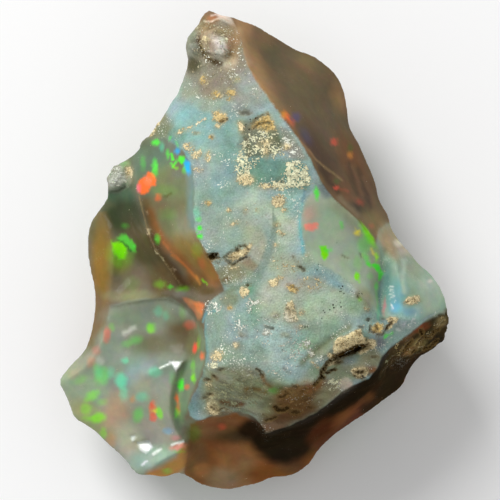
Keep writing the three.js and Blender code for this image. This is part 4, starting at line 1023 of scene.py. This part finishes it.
    (HIGHLIGHT_WHITE, Line((415, 318), (417, 314), width=0.9), 0.5, 1.6),
    (HIGHLIGHT_WHITE, Line((403, 325), (406, 322), width=0.8), 0.4, 1.6),
    # Painted glints: bright points along the rib of the upper break.
    (TAN, Line((146, 211), (147, 214), width=0.8), 0.4, 1.4),
    (TAN, Line((147.5, 229.5), (148.5, 234), width=1.0), 0.7, 1.4),
    (TAN, Line((154.5, 250), (156.5, 253.5), width=1.2), 0.8, 1.4),
    (TAN, Line((161.5, 257.5), (163.5, 260), width=1.0), 0.6, 1.4),
    (TAN, Line((173, 268), (175, 271), width=0.9), 0.5, 1.4),
]

# ---------------------------------------------------------------- the finish of each ground

# Each ground is a shape, its finish, and the width of its soft edge in pixels. A finish is a gloss
# from 0 to 1, a sparkle that is 1 on plain satin ground and also sets how many painted glints there
# are, the height of the grain in millimetres, and how brown the crevices are, from 0 to 1.
BREAK = np.array([0.12, 0.05, 0.006, 0.0])
UNDERSIDE = np.array([0.2, 0.2, 0.04, 0.2])
CHIPPED = np.array([0.9, 0.0, 0.0, 0.0])
GROUNDS = [
    (BROWN_FACE, np.array([0.12, 0.02, 0.004, 0.0]), 5),
    (LOBE, np.array([0.14, 0.05, 0.006, 0.0]), 5),
    (FOOT, np.array([0.0, 0.02, 0.02, 0.1]), 8),
    (RIGHT_LOBE, np.array([0.15, 0.15, 0.008, 0.0]), 5),
    (RIND, np.array([0.05, 1.0, 0.05, 0.12]), 3),
    (Blob(270, 330, 110, 70), np.array([0.05, 1.4, 0.05, 0.12]), 30),
    (SMOOTH_FACET, np.array([0.2, 0.08, 0.006, 0.0]), 5),
    # More sparkle, and so more painted glints, on the lower edge of the lobe at the far right.
    (Blob(407, 323, 28, 13, -30), np.array([0.15, 1.3, 0.02, 0.0]), 5),
    (ROUGH_GROUND, np.array([0.03, 0.4, 0.13, 0.38]), 16),
    (DARK_ROUGH_BAND, np.array([0.0, 0.12, 0.32, 0.7]), 5),
    (Blob(211, 46, 42, 44), np.array([0.0, 1.2, 0.3, 0.4]), 8),
    (Blob(118, 177, 30, 28, -30), np.array([0.0, 0.4, 0.24, 0.2]), 6),
]
CREVICE = colour(74, 56, 34)
# The levels of the grain's noise where crevices begin to darken, and where they are dark.
CREVICE_LEVELS = (0.1, -0.4)

# Black specks are strewn over these spots.
SPECKS = [
    Blob(317, 267, 13, 9),
    Blob(345, 290, 15, 10, -20),
    Blob(335, 305, 24, 9, -8),
    Blob(327, 311, 9, 7),
    Blob(321, 320, 5, 4),
    Blob(361, 297, 10, 9, -40),
    Blob(369, 320, 8, 6),
    Blob(340, 243, 5, 5),
    Blob(249, 285, 5, 4),
    Blob(252, 124, 26, 14, 20),
    Blob(305, 328, 8, 5),
    Blob(368, 372, 14, 8),
]
SPECK_EDGE = 3
SPECK_BLACK = colour(36, 38, 24)

# Small chips that face between the camera and the light, and so shine.
CHIPS = [
    Patch((169, 361.5), (182, 361.5), (180.5, 366), (176, 371), (173, 366)),
    Patch((137, 442), (149, 440.5), (153, 447), (146, 454), (140, 450.5)),
    Patch((130.5, 436), (135.5, 435), (134.5, 441), (132, 441.5)),
    Line((153.5, 454), (160.5, 449), width=3.2),
    Line((172, 445), (177, 443), (183, 441.5), width=2.2),
    Line((142, 465), (147, 461), width=2),
    Line((160, 368), (170, 363.5), width=1.6),
]
CHIP_EDGE = 2
# A chip lowers the ground by at most the first of these, and raises it by at most the second.
CHIP_DEPTH = 0.4 * MM
CHIP_RISE = CHIP_DEPTH / 3
# The painted highlight laid over each chip's colour, where the chip mirrors the light.
CHIP_HIGHLIGHT = colour(226, 232, 224)

# The relief begins this high above the resting face, and is full at the second height.
RELIEF_FROM, RELIEF_FULL = 0.05 * MM, 0.6 * MM
# How high the broad swells are, in millimetres, and how much a sparkle of 1 adds.
SWELL_HEIGHT, SATIN_SWELL = 0.03, 0.08
# The share of the crust's height that comes and goes from lump to lump.
CRUST_ROUGHNESS = 0.5

# ---------------------------------------------------------------- the underside

UNDER_BROWN = colour(112, 88, 64)
UNDER_MILKY = colour(132, 142, 128)
UNDER_LEVELS = (-0.3, 0.3)
UNDER_CRUST, UNDER_CRUST_LEVELS = 0.75, (0.25, 0.45)

# Its flashes lie on faces that point down, between two heights. Their sizes and edges are in pixels.
UNDER_FLASHES = 60
UNDER_SEED = 83
UNDER_NORMAL = -0.4
UNDER_LOW, UNDER_HIGH = 0.5 * MM, 7 * MM
UNDER_SIZES = (4, 9)
UNDER_STRETCHES = (0.7, 1.5)
UNDER_STRENGTHS = (0.3, 0.75)
UNDER_OUTER, UNDER_INNER = 2.5, 1.5
UNDER_RAGGEDNESS = 3
UNDER_HUES = [GREEN, GREEN, LIME, GREEN, LIME, RED, ORANGE, SEA, AZURE, YELLOW]

# ---------------------------------------------------------------- wavering edges, and noises

# How many pixels an edge wavers by, over what length, and the seed of its noise.
EDGE_WAVER = (1.5, 0.8 * MM, 20)
CRUST_WAVER = (2.4, 0.4 * MM, 41)
STAIN_WAVER = (2.0, 0.5 * MM, 43)
HOLLOW_WAVER = (1.0, 0.5 * MM, 45)
CHIP_WAVER = (0.6, 0.4 * MM, 51)
WASH_WAVER = (2.5, 1.2 * MM, 61)
SHARP_WAVER = (0.8, 0.6 * MM, 62)
FLASH_WAVER = (2.2, 0.4 * MM, 81)
# Added to the seed, for the wavering along the picture.
ALONG_SEED = 10

# The length and the seed of each noise.
GRAIN = (0.6 * MM, 31)
SWELLS = (2.0 * MM, 32)
CRUST_LUMPS = (0.4 * MM, 42)
UNDER_ZONES = (5 * MM, 63)
SCATTER_DRIFTS = (3 * MM, 71)
UNDER_CRUST_DRIFTS = (4 * MM, 72)
UNDER_RAGGED = (0.5 * MM, 84)
# The grain is drawn out along a line that falls to the right.
GRAIN_RUN = np.array([[0.5, 0.4, 0], [-0.2, 0.9, 0], [0, 0, 1]])


# ---------------------------------------------------------------- the points of a mesh

class Surface:
    """The points of a mesh: their places, their normals, how much each belongs to the front, from 0
    to 1, and their spots on the photograph's frame.
    """

    def __init__(self, mesh):
        self.places = self.read(mesh.vertices, "co")
        self.normals = self.read(mesh.vertex_normals, "vector")
        self.front = smooth_step(FRONT_FROM, FRONT_FULL, self.normals[:, 2])
        column = STONE_LEFT + (self.places[:, 0] - cad_low.x) / PIXEL
        row = STONE_TOP + (cad_high.y - self.places[:, 1]) / PIXEL
        nearer = (CAMERA_HEIGHT - FOCUS_HEIGHT) / (CAMERA_HEIGHT - self.places[:, 2])
        middle = PICTURE / 2
        self.spots = middle + (np.column_stack([column, row]) - middle) * nearer[:, None]

    @staticmethod
    def read(items, field):
        numbers = np.empty(len(items) * 3, np.float32)
        items.foreach_get(field, numbers)
        return numbers.reshape(-1, 3).astype(float)

    def noise(self, size, seed):
        return layered(self.places, size, seed)

    def wavered(self, reach, size, seed):
        """The spots, each moved by up to about reach pixels, so that edges waver."""
        waver = np.column_stack([self.noise(size, seed), self.noise(size, seed + ALONG_SEED)])
        return self.spots + reach * waver

    def place_at(self, spot):
        """The point of the front at a spot."""
        behind = np.where(self.front > IN_FRONT, 0, PICTURE)
        away = np.linalg.norm(self.spots - spot, axis=1) + behind
        return self.places[np.argmin(away)]


def blend(share, under, over):
    """The values under, with a share of those over laid on them at each point."""
    return under + share[:, None] * (over - under)


def laid_over(ground, layers, spots):
    """The ground's values at the spots, with each layer laid over what is under it."""
    for shape, value, soft in layers:
        ground = blend(cover(shape, spots, soft), ground, value)
    return ground


def laid(layers, start, spots):
    """Layers laid over a ground that is the same everywhere."""
    return laid_over(np.tile(start, (len(spots), 1)), layers, spots)


def chips_with(value):
    """Layers that give every chip the same value."""
    return [(shape, value, CHIP_EDGE) for shape in CHIPS]


def finish_of(surface):
    """Gloss, sparkle, grain height and brownness of crevices of each point."""
    front = laid(GROUNDS, BREAK, surface.wavered(*EDGE_WAVER))
    front = laid_over(front, chips_with(CHIPPED), surface.spots)
    return blend(surface.front, UNDERSIDE, front)


def grain_of(surface):
    """The grain's noise at each point."""
    return layered(surface.places @ GRAIN_RUN, *GRAIN)


# ---------------------------------------------------------------- the mesh and its relief

def take_shape(piece):
    """Makes what the piece's modifiers do part of its mesh."""
    shaped = piece.evaluated_get(bpy.context.evaluated_depsgraph_get())
    piece.data = bpy.data.meshes.new_from_object(shaped)
    piece.modifiers.clear()


def fine_copy(node):
    """An even, fine copy of the CAD node, with its edges a little softened."""
    piece = bpy.data.objects.new("stone", node.data.copy())
    bpy.context.scene.collection.objects.link(piece)
    weld = piece.modifiers.new("weld", "WELD")
    weld.merge_threshold = WELD
    remesh = piece.modifiers.new("remesh", "REMESH")
    remesh.mode = "VOXEL"
    remesh.voxel_size = VOXEL
    smooth = piece.modifiers.new("smooth", "SMOOTH")
    smooth.iterations = SMOOTHING_ROUNDS
    take_shape(piece)
    return piece


def relief(surface):
    """How far out each point goes along its normal."""
    _, sparkle, grain_height, _ = finish_of(surface).T
    grain = grain_height * MM * grain_of(surface)
    swell = (SWELL_HEIGHT + SATIN_SWELL * sparkle) * MM * surface.noise(*SWELLS)
    return grain + swell + surface.front * (crust_height(surface) - hollow_depth(surface))


def crust_height(surface):
    """How far the sandy crust stands out."""
    spots = surface.wavered(*CRUST_WAVER)
    height = np.zeros(len(spots))
    for shape, _, _, soft, stands_out in CRUST:
        height = np.maximum(height, stands_out * MM * cover(shape, spots, soft))
    return height * (1 + CRUST_ROUGHNESS * surface.noise(*CRUST_LUMPS))


def hollow_depth(surface):
    """How far the cracks and hollows go in."""
    spots = surface.wavered(*HOLLOW_WAVER)
    depth = np.zeros(len(spots))
    for shape, deepest, soft in HOLLOWS:
        depth = np.maximum(depth, deepest * MM * cover(shape, spots, soft))
    return depth


def chip(surface):
    """Brings the ground of each chip to a flat face that mirrors the light to the camera."""
    mirror = (KEY_PLACE.normalized() + Vector((0, 0, 1))).normalized()
    for shape in CHIPS:
        share = surface.front * cover(shape, surface.wavered(*CHIP_WAVER), CHIP_EDGE)
        off = surface.places - surface.place_at(shape.middle)
        level = -(off[:, 0] * mirror.x + off[:, 1] * mirror.y) / mirror.z
        surface.places[:, 2] += share * np.clip(level - off[:, 2], -CHIP_DEPTH, CHIP_RISE)


def carve(piece):
    """Gives the stone its relief, and leaves its resting face flat."""
    surface = Surface(piece.data)
    above = smooth_step(RELIEF_FROM, RELIEF_FULL, surface.places[:, 2])
    surface.places += (above * relief(surface))[:, None] * surface.normals
    chip(surface)
    move(piece.data, surface.places)


def flatten_rest(piece):
    """Brings the resting face, which remeshing and thinning leave uneven, level with the floor."""
    places = Surface(piece.data).places
    places[places[:, 2] < REST_UNEVENNESS, 2] = 0
    move(piece.data, places)


def move(mesh, places):
    """Moves the points of a mesh, and keeps them inside the box of the CAD solid."""
    inside = np.clip(places, np.array(cad_low), np.array(cad_high))
    mesh.vertices.foreach_set("co", inside.astype(np.float32).ravel())
    mesh.update()


def thin_out(piece):
    """Takes triangles away: some in front, many more behind, and most of the resting face's."""
    surface = Surface(piece.data)
    behind = surface.front < IN_FRONT
    resting = (surface.places[:, 2] == 0) & (surface.normals[:, 2] < RESTING_NORMAL)
    group = piece.vertex_groups.new(name="thinned")
    for points, share in [(~behind, THIN_FRONT), (behind, THIN_BEHIND), (resting, THIN_RESTING)]:
        group.add(np.flatnonzero(points).tolist(), share, "REPLACE")
    # In metres the errors that the thinning weighs would be too small for it to tell apart.
    piece.data.transform(Matrix.Scale(1 / MM, 4))
    triangles = sum(len(polygon.vertices) - 2 for polygon in piece.data.polygons)
    decimate = piece.modifiers.new("thin out", "DECIMATE")
    decimate.ratio = min(1.0, MOST_TRIANGLES / triangles)
    decimate.vertex_group = group.name
    take_shape(piece)
    piece.data.transform(Matrix.Scale(MM, 4))
    piece.vertex_groups.clear()
    piece.data.shade_smooth()


# ---------------------------------------------------------------- colours and finishes of the points

def ground_tone(surface):
    """The stone's own colour at each point, before crust and crevices."""
    spots = surface.wavered(*WASH_WAVER)
    broken = laid(BROKEN_GROUND, BREAK_COLOUR, spots)
    satin = laid(SATIN_GROUND, SATIN, spots)
    rind = cover(RIND, surface.wavered(*EDGE_WAVER), RIND_EDGE)
    tone = laid_over(blend(rind, broken, satin), SHARP_LINES + SIDE_KNOB, surface.wavered(*SHARP_WAVER))
    for brown, spread, strength in STAINS:
        tone = blend(strength * stain(surface, spread), tone, brown)
    tone = add_flashes(surface, tone)
    # Painted highlight on each chip.
    tone = laid_over(tone, chips_with(CHIP_HIGHLIGHT), surface.spots)
    milky = smooth_step(*UNDER_LEVELS, surface.noise(*UNDER_ZONES))
    under = add_under_flashes(surface, blend(milky, UNDER_BROWN, UNDER_MILKY))
    return blend(surface.front, under, tone)


def stain(surface, spread):
    """How much of the crust's brown has gone into each point, at most a few pixels beyond the crust."""
    spots = surface.wavered(*STAIN_WAVER)
    share = np.zeros(len(spots))
    for shape, fullness, tint, soft, _ in CRUST:
        if any(tint is brown for brown in STAINING_TINTS):
            share = np.maximum(share, fullness * cover(shape, spots, soft + spread))
    return share


def add_flashes(surface, tone):
    """The tone of the front, with the flashes of colour, and the painted highlights and glints among
    them.
    """
    spots = surface.wavered(*FLASH_WAVER)
    for hue, shape, strength, soft in FLASHES:
        tone = blend(strength * cover(shape, spots, soft), tone, hue)
    return tone


def add_under_flashes(surface, tone):
    """The tone of the underside, with flashes strewn over it."""
    draw = np.random.default_rng(UNDER_SEED)
    height = surface.places[:, 2]
    low = (height > UNDER_LOW) & (height < UNDER_HIGH)
    behind = np.flatnonzero((surface.normals[:, 2] < UNDER_NORMAL) & low)
    ragged = UNDER_RAGGEDNESS * surface.noise(*UNDER_RAGGED)
    for middle in surface.places[draw.choice(behind, UNDER_FLASHES)]:
        size = draw.uniform(*UNDER_SIZES)
        stretch = draw.uniform(*UNDER_STRETCHES, 3)
        away = np.linalg.norm((surface.places - middle) * stretch, axis=1) / PIXEL + ragged
        hue = UNDER_HUES[draw.integers(len(UNDER_HUES))]
        strength = draw.uniform(*UNDER_STRENGTHS)
        tone = blend(strength * smooth_step(size + UNDER_OUTER, size - UNDER_INNER, away), tone, hue)
    return tone


def crust_paint(surface):
    """The share of each point's ground that the crust's grains cover, and the crust's tint."""
    spots = surface.wavered(*CRUST_WAVER)
    drifts = smooth_step(*SCATTER_LEVELS, surface.noise(*SCATTER_DRIFTS))
    share = SCATTERED * drifts * finish_of(surface)[:, 1]
    tint = np.tile(SCATTER, (len(spots), 1))
    for shape, fullness, own_tint, soft, _ in CRUST:
        covered = surface.front * cover(shape, spots, soft + CRUST_FADE)
        tint = blend(covered, tint, own_tint)
        share = np.maximum(share, covered * fullness)
    under = UNDER_CRUST * smooth_step(*UNDER_CRUST_LEVELS, surface.noise(*UNDER_CRUST_DRIFTS))
    behind = np.maximum(share, under * (1 - surface.front))
    return np.where(surface.front < IN_FRONT, behind, share), tint


def hollow_paint(surface):
    """How far inside a hollow each point is, in pixels, and how dark its painted shade is, from 0 to 1.
    """
    spots = surface.wavered(*HOLLOW_WAVER)
    inside = np.full(len(spots), BEYOND_HOLLOWS)
    dark = np.zeros(len(spots))
    for shape, deepest, _ in HOLLOWS:
        depth = np.where(surface.front > IN_FRONT, shape.depth(spots), BEYOND_HOLLOWS)
        deeper = depth > inside
        inside[deeper] = depth[deeper]
        dark[deeper] = min(1, deepest * MM / HOLLOW_DARKEST)
    return inside, dark


def write(mesh, name, values):
    """Stores a number, or a colour, for each of the mesh's points."""
    if values.ndim == 1:
        layer = mesh.attributes.new(name, "FLOAT", "POINT")
        layer.data.foreach_set("value", values.astype(np.float32))
        return
    layer = mesh.attributes.new(name, "FLOAT_COLOR", "POINT")
    filled = np.ones((len(values), 4), np.float32)
    filled[:, :values.shape[1]] = values
    layer.data.foreach_set("color", filled.ravel())


def paint(mesh):
    """Stores, for each point, the colours and finishes that the material reads."""
    surface = Surface(mesh)
    gloss, sparkle, _, brown = finish_of(surface).T
    crust, tint = crust_paint(surface)
    inside, dark = hollow_paint(surface)
    shaded = np.minimum(1, hollow_depth(surface) * surface.front / HOLLOW_DARKEST)
    crevice = brown * smooth_step(*CREVICE_LEVELS, grain_of(surface))
    specks = np.max([cover(shape, surface.spots, SPECK_EDGE) for shape in SPECKS], axis=0)
    write(mesh, "tone", blend(crevice, ground_tone(surface), CREVICE))
    write(mesh, "gloss", gloss * (1 - shaded))
    write(mesh, "sparkle", sparkle * (1 - shaded))
    write(mesh, "specks", specks * surface.front)
    write(mesh, "crust", crust * (1 - CRUST_LOST_IN_HOLLOWS * shaded))
    write(mesh, "tint", tint)
    write(mesh, "inside", inside)
    # How dark the painted shade of each point's hollow is.
    write(mesh, "dark", dark)


# ---------------------------------------------------------------- the material

# Each noise of the material: its length, its detail and its strength.
MOTTLE = (0.9 * MM, 4.0, 0.26)
SPECKLE = (0.12 * MM, 2.0, 0.6)
GLINT_DRIFTS = (1.5 * MM, 4.0, 0.9)
GLINT_GRAINS = (0.13 * MM, 1.0, 1.0)
RAGGED_HOLLOWS = (0.2 * MM, 2.0, 6.0)
CRUST_GRAINS = (0.14 * MM, 2.0, 1.1)
CRUST_CLUMPS = (0.45 * MM, 3.0, 1.0)
CRUST_MOTTLE = (0.4 * MM, 3.0, 1.1)
CRUST_SPECKLE = (0.12 * MM, 2.0, 1.5)
GAP_GRAINS = (0.17 * MM, 3.0, 1.0)
SATIN_BUMPS = (0.16 * MM, 3.0, 1.0)
CRUST_BUMPS = (0.22 * MM, 3.0, 1.0)

# Each play of hue: its length and its strength.
FINE_SHIMMER = (0.45 * MM, 0.14)
BROAD_SHIMMER = (1.6 * MM, 0.35)

# Each rise: the values where it begins and ends, and what it goes from and to.
GLINTING = (0.22, 0.3, 0.0, 0.8)
DOT_OUTLINE = (0.45, 0.25)
DOT_CELLS = (0.45, 0.65)
RIM_RISE = (-2.4, -0.2, 0.0, 0.8)
CORE_RISE = (-0.5, 1.0)
CRUST_RISE = (0.4, 0.46)
GAP_RISE = (-0.06, -0.15, 0.0, 0.85)
GAPS_BY_CRUST = (0.7, 0.95, 0.5, 1.0)
BUMPS_BY_SPARKLE = (0.12, 0.35, 0.08, 1.0)
ROUGHNESS_BY_GLOSS = (0.1, 0.6, 0.6, 0.35)

# The colour of the painted glints.
GLINT = colour(236, 238, 222)
GRAIN_GAP = colour(104, 78, 38)
DOT_SIZE = 0.2 * MM
SPECKLE_EVERYWHERE = 0.05
CRUST_PULL = 0.8
CRUST_LEVEL = 0.6
SATIN_BUMP_HEIGHT = 0.07 * MM
CRUST_BUMP_HEIGHT = 0.22 * MM
ADDED_CRUST_ROUGHNESS = 0.3
HEIGHTS_IN_METRES = 1.0
COAT_ROUGHNESS = 0.12
OPAL_IOR = 1.45
LIGHT_UNDER_SURFACE, LIGHT_REACH = 0.25, 0.8 * MM


class Graph:
    """Adds nodes to a material, and links what they are given."""

    # Where a Mix node keeps its share, its two colours and the colour that comes out.
    MIX_INPUTS = (0, 6, 7)
    MIX_OUTPUT = 2

    def __init__(self, material):
        material.use_nodes = True
        self.tree = material.node_tree
        self.tree.nodes.clear()
        self.place = self.add("ShaderNodeTexCoord").outputs["Object"]

    def add(self, kind, **settings):
        node = self.tree.nodes.new(kind)
        for name, value in settings.items():
            setattr(node, name, value)
        return node

    def feed(self, node, **values):
        """Gives inputs, named with _ for a space, another node's output or a value of their own."""
        for name, value in values.items():
            self.feed_socket(node.inputs[name.replace("_", " ")], value)

    def feed_socket(self, socket, value):
        if isinstance(value, bpy.types.NodeSocket):
            self.tree.links.new(value, socket)
        else:
            socket.default_value = value

    def feed_all(self, sockets, *values):
        for socket, value in zip(sockets, values):
            self.feed_socket(socket, value)

    def read(self, name, output="Fac"):
        return self.add("ShaderNodeAttribute", attribute_name=name).outputs[output]

    def math(self, operation, *values):
        node = self.add("ShaderNodeMath", operation=operation)
        self.feed_all(node.inputs, *values)
        return node.outputs[0]

    def times(self, *values):
        return self.math("MULTIPLY", *values)

    def plus(self, *values):
        return self.math("ADD", *values)

    def rise(self, value, low, high, start=0.0, end=1.0):
        """An easy rise from start, where the value is low, to end, where it is high."""
        node = self.add("ShaderNodeMapRange", interpolation_type="SMOOTHSTEP")
        self.feed_all(node.inputs, value, low, high, start, end)
        return node.outputs[0]

    def noise(self, size, detail, strength):
        """Noise around 0, mostly within a quarter of its strength."""
        node = self.add("ShaderNodeTexNoise")
        self.feed(node, Vector=self.place, Scale=1 / size, Detail=detail)
        return self.times(self.math("SUBTRACT", node.outputs["Fac"], 0.5), strength)

    def dots(self, size):
        """Dots, in some of the cells of the given size."""
        cells = self.add("ShaderNodeTexVoronoi")
        self.feed(cells, Vector=self.place, Scale=1 / size)
        dot = self.rise(cells.outputs["Distance"], *DOT_OUTLINE)
        return self.times(dot, self.rise(cells.outputs["Color"], *DOT_CELLS))

    def brighten(self, colours, by):
        """The colours, brighter or darker by a share that is around 0."""
        node = self.add("ShaderNodeVectorMath", operation="SCALE")
        self.feed(node, Vector=colours, Scale=self.plus(by, 1.0))
        return node.outputs["Vector"]

    def shimmer(self, colours, size, strength):
        """The colours, each channel brighter or darker on its own, so that the hue plays."""
        hues = self.add("ShaderNodeTexNoise")
        self.feed(hues, Vector=self.place, Scale=1 / size)
        scaled = self.add("ShaderNodeVectorMath", operation="MULTIPLY_ADD")
        self.feed_all(scaled.inputs, hues.outputs["Color"], 3 * [strength], 3 * [1 - strength / 2])
        tinted = self.add("ShaderNodeVectorMath", operation="MULTIPLY")
        self.feed_all(tinted.inputs, colours, scaled.outputs["Vector"])
        return tinted.outputs["Vector"]

    def mix(self, share, under, over):
        """The colours under, with a share of those over."""
        node = self.add("ShaderNodeMix", data_type="RGBA")
        self.feed_all([node.inputs[number] for number in self.MIX_INPUTS], share, under, over)
        return node.outputs[self.MIX_OUTPUT]

    def finish(self, shader):
        output = self.add("ShaderNodeOutputMaterial")
        self.feed(output, Surface=shader.outputs["BSDF"])


def ground_colour(graph):
    """The tone, mottled, with drifts of painted white glints, and black specks."""
    fine = graph.times(graph.noise(*SPECKLE), graph.plus(SPECKLE_EVERYWHERE, graph.read("sparkle")))
    tone = graph.brighten(graph.read("tone", "Color"), graph.plus(graph.noise(*MOTTLE), fine))
    tone = graph.shimmer(graph.shimmer(tone, *FINE_SHIMMER), *BROAD_SHIMMER)
    glinting = graph.mix(graph.times(glints(graph), graph.read("sparkle")), tone, (*GLINT, 1))
    specks = graph.times(graph.dots(DOT_SIZE), graph.read("specks"))
    return graph.mix(specks, glinting, (*SPECK_BLACK, 1))


def glints(graph):
    """Painted glints: fine white points of highlight, which lie in drifts."""
    return graph.rise(graph.plus(graph.noise(*GLINT_GRAINS), graph.noise(*GLINT_DRIFTS)), *GLINTING)


def with_hollow_shade(graph, ground):
    """The ground, with painted shade in the hollows: brown at their rims and dark inside."""
    inside = graph.plus(graph.read("inside"), graph.noise(*RAGGED_HOLLOWS))
    rim = graph.times(graph.rise(inside, *RIM_RISE), graph.read("dark"))
    core = graph.times(graph.rise(inside, *CORE_RISE), graph.read("dark"))
    return graph.mix(core, graph.mix(rim, ground, (*HOLLOW_RIM_SHADE, 1)), (*HOLLOW_CORE_SHADE, 1))


def crust_mask(graph):
    """1 where there is a grain of crust."""
    grains = graph.plus(graph.noise(*CRUST_GRAINS), graph.noise(*CRUST_CLUMPS))
    return graph.rise(graph.plus(grains, graph.times(graph.read("crust"), CRUST_PULL)), *CRUST_RISE)


def crust_colour(graph):
    """The crust's tint, lighter and darker from grain to grain, with brown between them."""
    uneven = graph.plus(graph.noise(*CRUST_MOTTLE), graph.noise(*CRUST_SPECKLE))
    tinted = graph.brighten(graph.read("tint", "Color"), uneven)
    gaps = graph.rise(graph.noise(*GAP_GRAINS), *GAP_RISE)
    gaps = graph.times(gaps, graph.rise(graph.read("crust"), *GAPS_BY_CRUST))
    return graph.mix(gaps, tinted, (*GRAIN_GAP, 1))


def bumps(graph, crust):
    """The finest unevenness, of satin ground and of the crust's grains."""
    satin = graph.times(graph.noise(*SATIN_BUMPS), graph.rise(graph.read("sparkle"), *BUMPS_BY_SPARKLE))
    grains = graph.times(crust, graph.plus(CRUST_LEVEL, graph.noise(*CRUST_BUMPS)))
    height = graph.plus(graph.times(satin, SATIN_BUMP_HEIGHT), graph.times(grains, CRUST_BUMP_HEIGHT))
    node = graph.add("ShaderNodeBump")
    graph.feed(node, Height=height, Distance=HEIGHTS_IN_METRES)
    return node.outputs["Normal"]


def opal():
    """The stone's material. Its gloss is a coat, which the crust's grains don't have."""
    material = bpy.data.materials.new("opal")
    graph = Graph(material)
    crust = crust_mask(graph)
    shiny = graph.read("gloss")
    roughness = graph.rise(shiny, *ROUGHNESS_BY_GLOSS)
    shader = graph.add("ShaderNodeBsdfPrincipled")
    graph.feed(
        shader,
        Base_Color=with_hollow_shade(graph, graph.mix(crust, ground_colour(graph), crust_colour(graph))),
        Roughness=graph.plus(roughness, graph.times(crust, ADDED_CRUST_ROUGHNESS)),
        Coat_Weight=graph.times(shiny, graph.math("SUBTRACT", 1.0, crust)),
        Coat_Roughness=COAT_ROUGHNESS,
        IOR=OPAL_IOR,
        Specular_IOR_Level=0.0,
        Subsurface_Weight=LIGHT_UNDER_SURFACE,
        Subsurface_Radius=(1.0, 1.0, 1.0),
        Subsurface_Scale=LIGHT_REACH,
        Normal=bumps(graph, crust),
    )
    graph.finish(shader)
    return material


# ---------------------------------------------------------------- floor, light and camera

def lay_floor():
    """A plain pale floor, just under the stone."""
    half = FLOOR_WIDTH / 2
    mesh = bpy.data.meshes.new("floor")
    corners = [(-half, -half, 0), (half, -half, 0), (half, half, 0), (-half, half, 0)]
    mesh.from_pydata(corners, [], [(0, 1, 2, 3)])
    floor = bpy.data.objects.new("floor", mesh)
    floor.location.z = -FLOOR_GAP
    bpy.context.scene.collection.objects.link(floor)
    material = bpy.data.materials.new("floor")
    graph = Graph(material)
    shader = graph.add("ShaderNodeBsdfDiffuse")
    graph.feed(shader, Color=FLOOR_COLOUR)
    graph.finish(shader)
    mesh.materials.append(material)


def light():
    """An even white sky, and one soft lamp from the upper left."""
    world = bpy.data.worlds.new("sky")
    world.use_nodes = True
    background = world.node_tree.nodes["Background"]
    background.inputs["Strength"].default_value = SKY_STRENGTH
    background.inputs["Color"].default_value = (1, 1, 1, 1)
    bpy.context.scene.world = world
    lamp = bpy.data.lights.new("key", "AREA")
    lamp.size = KEY_SIZE
    lamp.energy = KEY_POWER
    key = bpy.data.objects.new("key", lamp)
    key.location = KEY_PLACE
    key.rotation_euler = (-KEY_PLACE).to_track_quat("-Z", "Y").to_euler()
    bpy.context.scene.collection.objects.link(key)


def place_camera():
    """A camera straight above the middle of the photograph's frame."""
    lens = bpy.data.cameras.new("camera")
    lens.sensor_width = SENSOR
    lens.lens = SENSOR * (CAMERA_HEIGHT - FOCUS_HEIGHT) / (PICTURE * PIXEL)
    lens.clip_start = CLIP_START
    camera = bpy.data.objects.new("camera", lens)
    middle = PICTURE / 2
    camera.location = (
        cad_low.x + (middle - STONE_LEFT) * PIXEL,
        cad_high.y - (middle - STONE_TOP) * PIXEL,
        CAMERA_HEIGHT,
    )
    bpy.context.scene.collection.objects.link(camera)
    bpy.context.scene.camera = camera


stone = fine_copy(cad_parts[NODE])
carve(stone)
flatten_rest(stone)
thin_out(stone)
flatten_rest(stone)
paint(stone.data)
stone.data.materials.clear()
stone.data.materials.append(opal())
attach(stone, "root")
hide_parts(NODE)
lay_floor()
light()
place_camera()
bpy.context.scene.view_settings.view_transform = "Standard"
